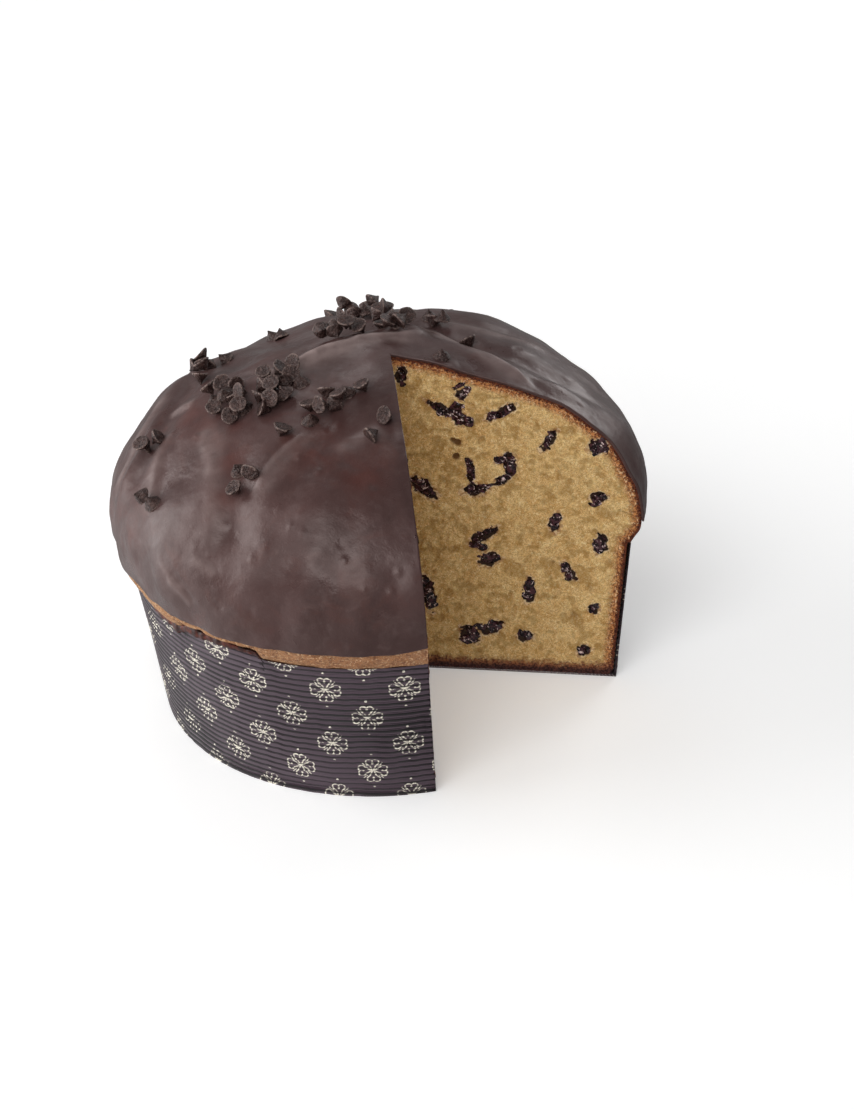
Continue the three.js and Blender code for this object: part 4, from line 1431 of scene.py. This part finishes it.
def lip_smear_and_shade(rings):
    """How dark each point of the crust is: chocolate under the glaze and at its edge, and in the hollow a
    chocolate smear that is also painted shade.
    """
    azimuth = azimuth_of(rings)
    place = np.arange(rings.shape[1])
    share = np.clip((place - LIP_START) / LIP_STEPS, 0, 1)
    covered = np.where(place > LIP_START + LIP_STEPS, 1.0, 0.0)
    in_case = np.where(place < LIP_START, SMEAR_IN_CASE, 0.0)
    below_brow = ease((hollow_edge(azimuth) + SMEAR_ABOVE - share) / SMEAR_ABOVE_FADE)
    # in the hollow the dark smear is chocolate and also painted shade, paler towards its right end
    paler = PALER_BY * ease((azimuth - HOLLOW_PALER) / PALER_FADE)
    in_hollow = hollow(azimuth) * below_brow * (1 - paler)
    at_edge = ease((share - SMEAR_FROM) / (1 - SMEAR_FROM))
    return np.clip(covered + in_case + in_hollow + at_edge, 0, 1)


def lip_front_shade(rings):
    """Painted shade on the lip: least at the left, most in front."""
    return 0.5 + 0.5 * np.cos(azimuth_of(rings) - FRONT_SHADE_AT)


def make_crumb():
    rows, columns = crust.shape[:2]
    pile = Pile()
    pile.add(crust, grid_faces(rows, columns))
    pole = pile.add([[*WEDGE_POINT, crust[0, 0, 2]], [*WEDGE_POINT, wedge_top]], [])
    pile.faces += pole_fans(rows, columns, pole, pole + 1)
    finish_index = [1] * len(pile.faces)
    blank = np.zeros(pile.count)
    quads = grid_faces(FACE_ROWS, FACE_COLUMNS)
    pile.add(right_face[0], quads)
    pile.add(left_face[0], quads[:, ::-1])
    finish_index += [0] * (len(pile.faces) - len(finish_index))
    values = {key: np.concatenate([blank, right_face[1][key], left_face[1][key]]) for key in right_face[1]}
    values["smear_and_hollow_shade"] = padded(lip_smear_and_shade(crust).ravel(), pile.count)
    values["front_shade"] = padded(lip_front_shade(crust).ravel(), pile.count)
    finishes = [golden_crumb, baked_crust]
    return make_piece("baked_loaf", pile.all_points(), pile.faces, finishes, values, finish_index)


loaf = make_crumb()

# %% [markdown]
# ## Broken chips in the crumb
#
# A knife shatters cold chocolate, so a chip in the cut isn't a neat oval. Each is built from a few
# angular shards in its torn bed. A shard starts as a ball, and planes laid at random shave it flat,
# which gives crisp facets that catch the light. The last plane is the cut itself, a little tilted.

# %% Shards of chocolate
SHARD_DETAIL = 3
SHARD_PLANES = 7
SHARD_EVERY = 4.2
SHARD_SLICE = (0.38, 0.78)
SHARD_RISE = 0.35
SHAVED_RADIUS = 0.7
SHARD_THICKNESS = 1.6
SHARD_LONG = (0.5, 0.85)
SHARD_WIDE = (0.36, 0.6)
SHARD_SPAN = 0.9
SHARD_ASIDE = 0.17
SHARD_LEAN = 0.5
SHARD_TILT = 0.24
SHARD_LEVEL = (-0.1, 0.3)
SHARD_SUNK = 0.9
SHARD_BOUNDS = (-2.5, 0.7)


def ball(detail):
    """Points and faces of a sphere with evenly spread triangles."""
    mesh = bpy.data.meshes.new("ball")
    shape = bmesh.new()
    bmesh.ops.create_icosphere(shape, subdivisions=detail, radius=1)
    shape.to_mesh(mesh)
    shape.free()
    points = np.array([v.co for v in mesh.vertices])
    faces = [tuple(face.vertices) for face in mesh.polygons]
    bpy.data.meshes.remove(mesh)
    return points, faces


def shaved(points, spread):
    """The ball after planes at random took slices off it, mostly from its sides."""
    points = points.copy()
    for _ in range(SHARD_PLANES):
        heading, rise = spread.uniform(0, 2 * math.pi), spread.normal(0, SHARD_RISE)
        normal = np.append(math.cos(rise) * unit(heading), math.sin(rise))
        over = points @ normal - spread.uniform(*SHARD_SLICE)
        points = points - np.clip(over, 0, None)[:, None] * normal
    return points


def turned(x, y, angle):
    """A place on a flat map after a turn about the origin."""
    return x * math.cos(angle) - y * math.sin(angle), x * math.sin(angle) + y * math.cos(angle)


def shard(round_ball, chip, share, count, spread):
    """One shard: places along the cut and up, and how far each point stands out of the face."""
    along, z, length, width, turn = chip
    shift = share * length * SHARD_SPAN
    aside = spread.normal(0, SHARD_ASIDE) * width
    half_long = length / count * spread.uniform(*SHARD_LONG)
    half_wide = width * spread.uniform(*SHARD_WIDE)
    size = [half_long / SHAVED_RADIUS, half_wide / SHAVED_RADIUS, SHARD_THICKNESS]
    x, y, depth = (shaved(round_ball, spread) * size).T
    x, y = turned(x, y, math.radians(turn) + spread.normal(0, SHARD_LEAN))
    tilt_x, tilt_y = spread.normal(0, SHARD_TILT, 2)
    cut_plane = spread.uniform(*SHARD_LEVEL) + tilt_x * x + tilt_y * y
    proud = np.clip(np.minimum(depth - SHARD_SUNK, cut_plane), *SHARD_BOUNDS)
    move_x, move_y = turned(shift, aside, math.radians(turn))
    return x + along + move_x, y + z + move_y, proud


def make_shards():
    round_ball, ball_faces = ball(SHARD_DETAIL)
    spread = np.random.default_rng(61)
    pile = Pile()
    sides = ((CUT_RIGHT, INTO_LOAF_RIGHT, right_chips), (CUT_LEFT, INTO_LOAF_LEFT, left_chips))
    for cut, into, chips in sides:
        for chip in chips:
            count = max(2, round(chip[2] / SHARD_EVERY))
            for i in range(count):
                out, up, proud = shard(round_ball, chip, (i + 0.5) / count - 0.5, count, spread)
                plan = WEDGE_POINT + out[:, None] * unit(cut) - proud[:, None] * into
                pile.add(np.column_stack([plan, up]), ball_faces)
    return make_piece("chips_in_the_cuts", pile.all_points(), pile.faces, [cut_chocolate], smooth=False)


shards = make_shards()
face_outward(shards)

# %% [markdown]
# ## Where the loose chips lie
#
# The chips fell on the wet glaze in heaps, and later ones came to rest on earlier ones. A particle
# system could scatter them, but the solid model has them too, and both must agree. So they are drawn
# here by the same rule with the same run of numbers: a chip that touches others is lifted onto them.

# %% Places of the loose chips
CHIP_SPACING = 6
CHIP_LIFT_LIMIT = 4.6
CHIP_WEDGE_CLEARANCE = 4.5
CHIP_TRIES = 60
# A cluster: place, reach along and across, heading in degrees, count.
LONE = ((1, 1), 0, 1)
CHIP_CLUSTERS = [
    ((-71, 47), (13, 6), 40, 5),
    ((-39, 58), (13, 3), 113, 2),
    ((-8, 16), (10, 4), 20, 6),
    ((12, 23), (10, 6), 60, 9),
    ((0, 61), (17, 11), 90, 11),
    ((31, 38), (9, 3), 110, 3),
    ((44, 20), *LONE),
    ((30, -5), *LONE),
    ((-71, 19), (5, 3), 100, 2),
    ((-60, -13), (15, 8), 110, 11),
    ((-38, -16), (15, 9), 60, 14),
    ((-14, -31), (13, 5), 20, 7),
    ((-37, -47), *LONE),
    ((-26, -41), *LONE),
    ((0, -55), *LONE),
    ((6, -45), *LONE),
    ((-99, -11), (7, 4), 140, 3),
    ((-59, -57), *LONE),
    ((-52, -62), *LONE),
    ((-60, -67), *LONE),
    ((-103, -48), (5, 2), -20, 2),
    ((44, 108), (9, 7), 60, 5),
    ((-18, 112), (12, 6), 100, 5),
    ((68, 106), (8, 4), 110, 3),
]


def clear_of_wedge(x, y):
    """Distance of a place in plan from the nearer cut, negative inside the wedge."""
    dx, dy = x - WEDGE_POINT[0], y - WEDGE_POINT[1]
    beyond_left = dx * math.sin(CUT_LEFT) - dy * math.cos(CUT_LEFT)
    beyond_right = dy * math.cos(CUT_RIGHT) - dx * math.sin(CUT_RIGHT)
    return max(beyond_left, beyond_right)


def solid_dome_plan(u, v):
    """Where a place along the skin lies in plan on the solid model, which has no fine relief."""
    distance, radius, _, outward, _ = PROFILE
    along = math.hypot(u, v)
    r = np.interp(along, distance, radius) + np.interp(along, distance, outward) * broad_relief(u, v)
    return r * u / along, r * v / along


def place_chips(draw):
    """The chips where the solid model drops them, each lying on the ones that came before."""
    chips = []
    for (at_u, at_v), reach, heading, count in CHIP_CLUSTERS:
        wanted = len(chips) + count
        attempts = 0
        while attempts < CHIP_TRIES * count and len(chips) < wanted:
            attempts += 1
            around, out = 2 * math.pi * draw(), math.sqrt(draw())
            along, across = reach[0] * out * math.cos(around), reach[1] * out * math.sin(around)
            u, v = turned(along, across, math.radians(heading))
            u, v = at_u + u, at_v + v
            pose, lean, lean_heading = draw(), draw(), 2 * math.pi * draw()
            lift = 0.0
            for other in chips:
                apart = math.hypot(u - other["u"], v - other["v"])
                if apart < CHIP_SPACING:
                    lift = max(lift, other["lift"] + math.sqrt(CHIP_SPACING**2 - apart**2))
            if lift < CHIP_LIFT_LIMIT and clear_of_wedge(*solid_dome_plan(u, v)) > CHIP_WEDGE_CLEARANCE:
                chip = {"u": u, "v": v, "lift": lift, "pose": pose, "lean": lean, "heading": lean_heading}
                chips.append(chip)
    return chips


loose_places = place_chips(draw)
print("loose chips:", len(loose_places))

# %% [markdown]
# ## One drop
#
# Baking chips are piped drops: a flat round foot, a soft cone and a small curled tip. Blender's Screw
# modifier could turn the section, but then each drop would be the same. Here the rings are worked out
# one by one, so each drop can be a little oval and dented, with its tip bent over to one side.

# %% Shape of a drop
CHIP_RADIUS = 3.8
CHIP_HEIGHT = 5.2
CHIP_SIDES = 26
TIP_FROM = 0.35
# painted highlight at the tip of each drop
TIP_HIGHLIGHT = 0.3
TIP_BENDS = (0.2, 1.0)
OVALS = (0.9, 1.0)
DENTS = (0.01, 0.045)
DENT_WAVES = ((2, 0.5), (3, 1.6), (5, -1.1))
FOOT_WAVE = 0.14
# where the painted highlight lies on the rim of the foot
RIM_HIGHLIGHT_AT, RIM_HIGHLIGHT_WIDE, RIM_HIGHLIGHT_TALL = 0.2, 0.25, 0.5
CHIP_SECTION = [
    (0.0, 0.1),
    (1.3, 0.12),
    (2.9, 0.04),
    (3.6, 0.0),
    (3.8, 0.18),
    (3.8, 0.5),
    (3.55, 0.95),
    (3.1, 1.5),
    (2.5, 2.15),
    (1.85, 2.85),
    (1.25, 3.5),
    (0.78, 4.1),
    (0.4, 4.65),
    (0.0, 5.1),
]


def turned_drop(spread):
    """One piped drop on its foot, a little different every time, and the painted highlight with rubbed
    wear on its rim and tip.
    """
    turn = 2 * math.pi * np.arange(CHIP_SIDES) / CHIP_SIDES
    bend = spread.uniform(*TIP_BENDS)
    toward = spread.uniform(0, 2 * math.pi)
    oval = spread.uniform(*OVALS)
    dents = spread.uniform(*DENTS, 3)
    starts = spread.uniform(0, 2 * math.pi, 3)
    points, highlight_and_wear = [], []
    for radius, height in CHIP_SECTION[1:-1]:
        lean = tip_bend(bend, height / CHIP_HEIGHT)
        swirl = 1
        for dent, start, (waves, twist) in zip(dents, starts, DENT_WAVES):
            swirl = swirl + dent * np.sin(waves * turn + start + twist * height)
        x = radius * swirl * np.cos(turn) + lean * math.cos(toward)
        y = radius * swirl * oval * np.sin(turn) + lean * math.sin(toward)
        up = height + FOOT_WAVE * np.sin(2 * turn + starts[1]) * (1 - height / CHIP_HEIGHT)
        points.append(np.column_stack([x, y, up]))
        rim_highlight = bell((radius - CHIP_RADIUS) / RIM_HIGHLIGHT_WIDE)
        rim_highlight = rim_highlight * bell((height - RIM_HIGHLIGHT_AT) / RIM_HIGHLIGHT_TALL)
        highlight_and_wear.append(np.full(CHIP_SIDES, rim_highlight))
    foot, tip = [0, 0, CHIP_SECTION[0][1]], [*tip_bend(bend, 1) * unit(toward), CHIP_SECTION[-1][1]]
    return np.vstack([*points, foot, tip]), np.append(np.concatenate(highlight_and_wear), [0, TIP_HIGHLIGHT])


def tip_bend(bend, share):
    """How far the drop leans over at a share of its height: not at all below, most at the tip."""
    return 2 * bend * max(share - TIP_FROM, 0) ** 2


def drop_faces():
    rings = len(CHIP_SECTION) - 2
    faces = tube_faces(rings, CHIP_SIDES)
    foot, tip, last = rings * CHIP_SIDES, rings * CHIP_SIDES + 1, (rings - 1) * CHIP_SIDES
    for k in range(CHIP_SIDES):
        after = (k + 1) % CHIP_SIDES
        faces += [(foot, after, k), (tip, last + k, last + after)]
    return faces


print("faces of a drop:", len(drop_faces()))

# %% [markdown]
# ## Drops on the glaze
#
# The chips froze in the glaze at all angles: some upright, some on their side, many showing the foot.
# Each stands square to the skin first, is then tipped about a random direction, and sinks in a little,
# as a chip does in soft chocolate. All of them are one piece, because nobody moves a single one.

# %% Set the drops down
CHIP_CENTRE = 2
CHIP_SEAT_UPRIGHT = 1.6
CHIP_SEAT_TIPPED = 2.3
STACK_SETTLED = 0.8
CHIPS_UPRIGHT = 0.24
CHIPS_ON_SIDE = 0.3
LEAN_UPRIGHT = (0, 24)
LEAN_ON_SIDE = (66, 44)
LEAN_TIPPED = (118, 50)


def chip_pose(chip):
    """How a chip stands: upright, on its side, or showing its foot."""
    normal = Vector(dome_normal(np.array(chip["u"]), np.array(chip["v"])))
    upright, on_side = chip["pose"] < CHIPS_UPRIGHT, chip["pose"] < CHIPS_UPRIGHT + CHIPS_ON_SIDE
    least, more = LEAN_UPRIGHT if upright else LEAN_ON_SIDE if on_side else LEAN_TIPPED
    seat = (CHIP_SEAT_UPRIGHT if upright else CHIP_SEAT_TIPPED) + STACK_SETTLED * chip["lift"]
    centre = Vector(dome_point(chip["u"], chip["v"])) + seat * normal
    axis = Vector((math.cos(chip["heading"]), math.sin(chip["heading"]), 0))
    tip_over = Matrix.Rotation(math.radians(least + more * chip["lean"]), 4, axis)
    stand = Vector((0, 0, 1)).rotation_difference(normal).to_matrix().to_4x4()
    return Matrix.Translation(centre) @ stand @ tip_over @ Matrix.Translation((0, 0, -CHIP_CENTRE))


def make_loose_chips():
    spread = np.random.default_rng(71)
    faces = drop_faces()
    pile = Pile()
    highlight_and_wear = []
    for chip in loose_places:
        pose = np.array(chip_pose(chip))
        drop, rim_highlight = turned_drop(spread)
        pile.add(drop @ pose[:3, :3].T + pose[:3, 3], faces)
        highlight_and_wear.append(rim_highlight)
    values = {"rim_highlight_and_wear": np.concatenate(highlight_and_wear)}
    return make_piece("loose_chips", pile.all_points(), pile.faces, [chip_chocolate], values)


loose_chips = make_loose_chips()

# %% [markdown]
# ## Paper case
#
# Panettone is baked in a cup of ribbed card with a flat base, and it is sold in it. The ribs run
# round it like corduroy. Bump alone would leave the outline smooth, so the ribs are real here: one
# section with all ribs, carried round the rays, wandering a little as card does.

# %% Ribbed wall
RIB_COUNT = 24
STEPS_PER_RIB = 8
WALL_RAYS = 440
WALL_HEIGHTS = np.linspace(0, CASE_HEIGHT, RIB_COUNT * STEPS_PER_RIB + 1)
RIB_FULLNESS = 1.1
RIB_WANDER = 0.35
WANDER_NOISE = [(1, 8, 81)]
SLOW_WANDER_NOISE = [(0.7, 3.2, 82)]
BULGE = 0.35
BULGE_NOISE = [(1, 38, 83)]
WALL_END_FADE = 2
HIGHER_RIM = 2.8
HIGHER_RIM_REACH = 17
RIM_ROLL = ((0.35, 0.3), (0.75, 0.0))
RIM_DROP = 0.35
INNER_HEIGHTS = (CASE_HEIGHT - 1.5, 40, 6, CASE_FLOOR)
CARD_INSIDE = 0.55
BASE_SHARES = (0.66, 0.33)
SLUMP_AT = math.radians(-140)
SLUMP_REACH = math.radians(18)
SLUMP_DOWN = 6
SLUMP_GROWTH = 2.5
STAIN_NOISE = [(0.8, 5, 94)]
STAIN_FROM, STAIN_FADE = 0.3, 1.4


def ribs(z):
    """How far the card stands back from the crests of its ribs, from 0 to 1."""
    crest = 0.5 + 0.5 * np.cos(2 * math.pi * z * RIB_COUNT / CASE_HEIGHT)
    return 1 - crest**RIB_FULLNESS


def print_slump(azimuth, z):
    """How far the print sags where the card was stretched at the left while the dough rose."""
    share = np.clip(z / CASE_HEIGHT, 0, 1) ** SLUMP_GROWTH
    return SLUMP_DOWN * bell((azimuth - SLUMP_AT) / SLUMP_REACH) * share


def wall_shape(z):
    """Radius, height and depth of the ribs for one ring of the wall, each as a function of azimuth."""
    fade = ease(z / WALL_END_FADE) * ease((CASE_HEIGHT - z) / WALL_END_FADE)

    def around(azimuth):
        return round_the_loaf(azimuth, CASE_BASE_RADIUS)

    def height(azimuth):
        share = ease((z - CASE_HEIGHT + HIGHER_RIM_REACH) / HIGHER_RIM_REACH)
        return z + HIGHER_RIM * hollow(azimuth) * share

    def groove(azimuth):
        wander = layered(around(azimuth), z / 2, WANDER_NOISE)
        wander = wander + layered(around(azimuth), z / 4, SLOW_WANDER_NOISE)
        return ribs(height(azimuth) + RIB_WANDER * wander)

    def radius(azimuth):
        bulge = BULGE * (layered(around(azimuth), z, BULGE_NOISE) - 1) * fade
        return outer_case_radius(z) - RIB_DEPTH * groove(azimuth) + bulge

    return radius, height, groove


def case_rings(headings):
    """Rings up the ribbed wall, over the rim, down the inside and in to the floor, and their print."""
    rings, place = [], []

    def add(radius, z, groove=None):
        ring = ring_on_rays(radius, z, headings)
        azimuth = azimuth_of(ring)
        depth = groove(azimuth) if groove else np.zeros(len(ring))
        azimuth = np.unwrap(azimuth) - 2 * math.pi
        arc = azimuth * outer_case_radius(CASE_HEIGHT / 2)
        rings.append(ring)
        place.append(np.column_stack([arc, ring[:, 2] + print_slump(azimuth, ring[:, 2]), depth]))

    for z in WALL_HEIGHTS:
        add(*wall_shape(z))
    for back, rise in RIM_ROLL:
        top = CASE_HEIGHT + rise - RIM_DROP
        add(CASE_RIM_RADIUS - back, lambda azimuth, top=top: top + HIGHER_RIM * hollow(azimuth))
    for z in INNER_HEIGHTS:
        add(inner_case_radius(z) + CARD_INSIDE, z)
    for share in BASE_SHARES:
        add((inner_case_radius(0) + CARD_INSIDE) * share, CASE_FLOOR)
    return np.stack(rings, axis=1), np.stack(place, axis=1)


def make_case():
    headings = CUT_RIGHT + LOAF_SWEEP * np.linspace(0, 1, WALL_RAYS + 1)
    wall, place = case_rings(headings)
    rows, columns = wall.shape[:2]
    pile = Pile()
    pile.add(wall, grid_faces(rows, columns))
    under = [ring_on_rays(CASE_BASE_RADIUS * share, 0.0, headings) for share in BASE_SHARES]
    first_under = pile.add(np.stack(under, axis=1), grid_faces(rows, 2))
    pole = pile.add([[*WEDGE_POINT, 0.0], [*WEDGE_POINT, CASE_FLOOR]], [])
    for k in range(rows - 1):
        start, below = k * columns, first_under + 2 * k
        pile.faces.append((start, start + columns, below + 2, below))
        pile.faces.append((pole, below + 1, below + 3))
        pile.faces.append((pole + 1, start + 2 * columns - 1, start + columns - 1))
    for row in (0, rows - 1):
        close_case_cut(pile, row * columns, columns, first_under + 2 * row, pole)
    values = {
        "paper_place": padded(place.reshape(-1, 3), pile.count),
        "melt_stain": padded(melt_stain(wall).ravel(), pile.count),
    }
    return make_piece("ribbed_paper_case", pile.all_points(), pile.faces, [printed_paper], values)


def melt_stain(wall):
    """Where melted chocolate ran thinly down the outside of the rim, from 0 to 1."""
    azimuth = azimuth_of(wall)
    ragged = STAIN_FROM + layered(azimuth * CASE_RIM_RADIUS, 0, STAIN_NOISE)
    return hollow(azimuth) * ease((wall[..., 2] - CASE_HEIGHT - ragged) / STAIN_FADE)


def close_case_cut(pile, start, columns, below, pole):
    """The cut edge of the card: a thin upright strip and a thin strip along the base."""
    inner_top = start + len(WALL_HEIGHTS) + len(RIM_ROLL)
    inner = range(inner_top, inner_top + len(INNER_HEIGHTS))
    floor = (start + columns - 2, start + columns - 1)
    pile.faces.append((*range(start, inner_top), *inner))
    pile.faces.append((start, inner[-1], *floor, pole + 1, pole, below + 1, below))

# %% [markdown]
# ## Print on the paper
#
# The case carries a small ornament in cream, set in columns where every second one is dropped by
# half a step. It could be painted as an image, but sums on the paper's own coordinates stay sharp at
# any size. The rosette has four round petals drawn as outlines, fine strokes and a dot above and below.

# %% Rosettes in cream
COLUMN_SPACING = 15.95
ROW_SPACING = 28.9
COLUMN_START = -159.4
ROW_START = 28.4
LOBE_OUT = 4.7
LOBE_ASIDE = 1.3
LOBE_RADIUS = 1.45
PETAL_FLARE = math.radians(29)
STROKE = 0.29
STROKE_FADE = 0.1
BUD_OUT, BUD_RADIUS = LOBE_OUT - 0.6, 0.5
DOT_OUT, DOT_RADIUS = 8.9, 0.55
RAY_FROM, RAY_TO, RAY_FADE = 3.2, 6.2, 0.3
PAPER_DARK, PAPER_FADED, PAPER_CREST_HIGHLIGHT = srgb(30, 21, 26), srgb(39, 29, 35), srgb(96, 81, 91)
PAPER_GROOVE_SHADE, PAPER_INK, PAPER_STAIN = srgb(12, 8, 10), srgb(236, 229, 212), srgb(78, 36, 26)


def rosette_mask(finish, arc, up):
    """1 on the printed lines, 0 between them."""
    less, times = finish.less, finish.times

    def near(distance, half_width):
        return finish.step(distance, half_width - STROKE_FADE, half_width + STROKE_FADE, 1, 0)

    def length(first, second):
        squares = finish.plus(finish.sum("POWER", first, 2.0), finish.sum("POWER", second, 2.0))
        return finish.sum("SQRT", squares)

    def size(number):
        return finish.sum("ABSOLUTE", number)

    def off_ray(angle):
        """Distance from a ray out of the middle at an angle from the petal's axis."""
        return less(times(short_way, math.cos(angle)), times(long_way, math.sin(angle)))

    def from_nearest(steps):
        return less(steps, finish.sum("ROUND", steps))

    column = finish.sum("DIVIDE", less(arc, COLUMN_START), COLUMN_SPACING)
    dropped = times(finish.sum("PINGPONG", finish.sum("ROUND", column), 1.0), ROW_SPACING / 2)
    row = finish.sum("DIVIDE", less(finish.plus(up, dropped), ROW_START), ROW_SPACING)
    x = size(times(from_nearest(column), COLUMN_SPACING))
    y = size(times(from_nearest(row), ROW_SPACING))
    long_way, short_way = finish.sum("MAXIMUM", x, y), finish.sum("MINIMUM", x, y)

    off_lobe = less(length(less(long_way, LOBE_OUT), less(short_way, LOBE_ASIDE)), LOBE_RADIUS)
    off_wedge = finish.sum("MAXIMUM", off_ray(PETAL_FLARE), less(long_way, LOBE_OUT))
    mask = near(size(finish.sum("MINIMUM", off_lobe, off_wedge)), STROKE)
    bud = near(length(less(long_way, BUD_OUT), short_way), BUD_RADIUS)
    dots = near(length(x, less(y, DOT_OUT)), DOT_RADIUS)
    reach = length(x, y)
    outside = finish.step(reach, RAY_FROM, RAY_FROM + RAY_FADE)
    within = times(outside, finish.step(reach, RAY_TO - RAY_FADE, RAY_TO, 1, 0))
    ray = times(near(size(off_ray(math.pi / 4)), 0.7 * STROKE), within)
    for part in (bud, ray, dots):
        mask = finish.sum("MAXIMUM", mask, part)
    return mask


def paper_finish():
    finish = Finish("printed_paper")
    arc, up, groove = finish.split(finish.value("paper_place", "Vector"))
    worn = finish.times(rosette_mask(finish, arc, up), finish.blotches(1.0, 0.30, 0.50, 3, 0.7))
    on_rib = finish.step(groove, 0.14, 0.46, 1, 0.05)
    ragged = finish.blotches(2.2, 0.3, 0.6, 3, 0.6, (0.3, 0.9))
    colour = finish.cover(
        finish.mix(finish.blotches(14, 0.3, 0.7, 3, 0.6), PAPER_DARK, PAPER_FADED),
        # painted highlight on the rib crests and painted shade in the grooves
        (finish.times(finish.step(groove, 0.0, 0.24, 1, 0), 0.8), PAPER_CREST_HIGHLIGHT),
        (finish.step(groove, 0.28, 0.6, 0, 0.95), PAPER_GROOVE_SHADE),
        (finish.times(worn, on_rib), PAPER_INK),
        (finish.times(finish.value("melt_stain"), ragged), PAPER_STAIN),
    )
    roughness = finish.step(groove, 0.0, 0.6, 0.32, 0.6)
    fibres = finish.noise(0.5, 3, 0.6, stretch=(1, 1, 0.4))
    return finish.done(colour, roughness, finish.bumps(fibres, 0.12, 0.5), Specular_IOR_Level=0.32)


printed_paper = paper_finish()
case = make_case()
face_outward(case)

# %% [markdown]
# ## Melted chocolate under the lip
#
# At the left the crust lifted off the rim while it baked, and chocolate ran into the hollow and set
# there. A painted dark band would have no shine. It is a knobbly bead that follows the rim, thick in
# the middle of the hollow and gone at both ends.

# %% Bead along the rim
MELT_FROM = math.radians(-153)
MELT_RAYS = 260
MELT_SIDES = 12
MELT_SHARES = [0, 0.04, 0.12, 0.42, 0.62, 0.7, 0.98, 1]
MELT_THICKNESS = [0, 0.5, 0.9, 1.4, 1.25, 0.7, 0.5, 0]
MELT_NOISE = [(0.35, 5, 91), (0.3, 2, 92)]
MELT_OUT, MELT_UP = 0.5, 0.7
MELT_WIDE, MELT_TALL = 0.8, 1.5
MELT_RISE = 0.9
MELT_SAG_NOISE = [(0.3, 8, 93)]


def make_melt():
    azimuth = np.linspace(MELT_FROM, HOLLOW_TO, MELT_RAYS)
    around = azimuth * CASE_RIM_RADIUS
    thick = np.interp(np.linspace(0, 1, MELT_RAYS), MELT_SHARES, MELT_THICKNESS)
    thick = (thick * (1 + layered(around, 0, MELT_NOISE)))[:, None]
    turn = 2 * math.pi * np.arange(MELT_SIDES) / MELT_SIDES
    out = CASE_RIM_RADIUS + MELT_OUT + thick * (MELT_WIDE * np.cos(turn))
    middle = CASE_HEIGHT + MELT_UP + MELT_RISE * HIGHER_RIM * hollow(azimuth)
    middle = middle + layered(around, 0, MELT_SAG_NOISE)
    up = middle[:, None] + thick * MELT_TALL * np.sin(turn)
    points = np.dstack([out[..., None] * unit(azimuth)[:, None], up])
    faces = tube_faces(MELT_RAYS, MELT_SIDES)
    return make_piece("melted_chocolate", points.reshape(-1, 3), faces, [melted_chocolate])


melt = make_melt()
face_outward(melt)

# %% [markdown]
# ## Tie every piece to the frame
#
# Each piece hangs on the root body, and the part of the frame that it stands for is hidden. Nothing
# here moves, so all ride on the same body.

# %% Ties
TIES = [
    (glaze, "glaze", "chocolate"),
    (loose_chips, "glaze", "chocolate"),
    (melt, "glaze", "chocolate"),
    (loaf, "crumb", "crumb"),
    (shards, "crumb", "chocolate"),
    (case, "paper_case", "paper"),
]
for piece, node, slot in TIES:
    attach(piece, "root")
    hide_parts(node)
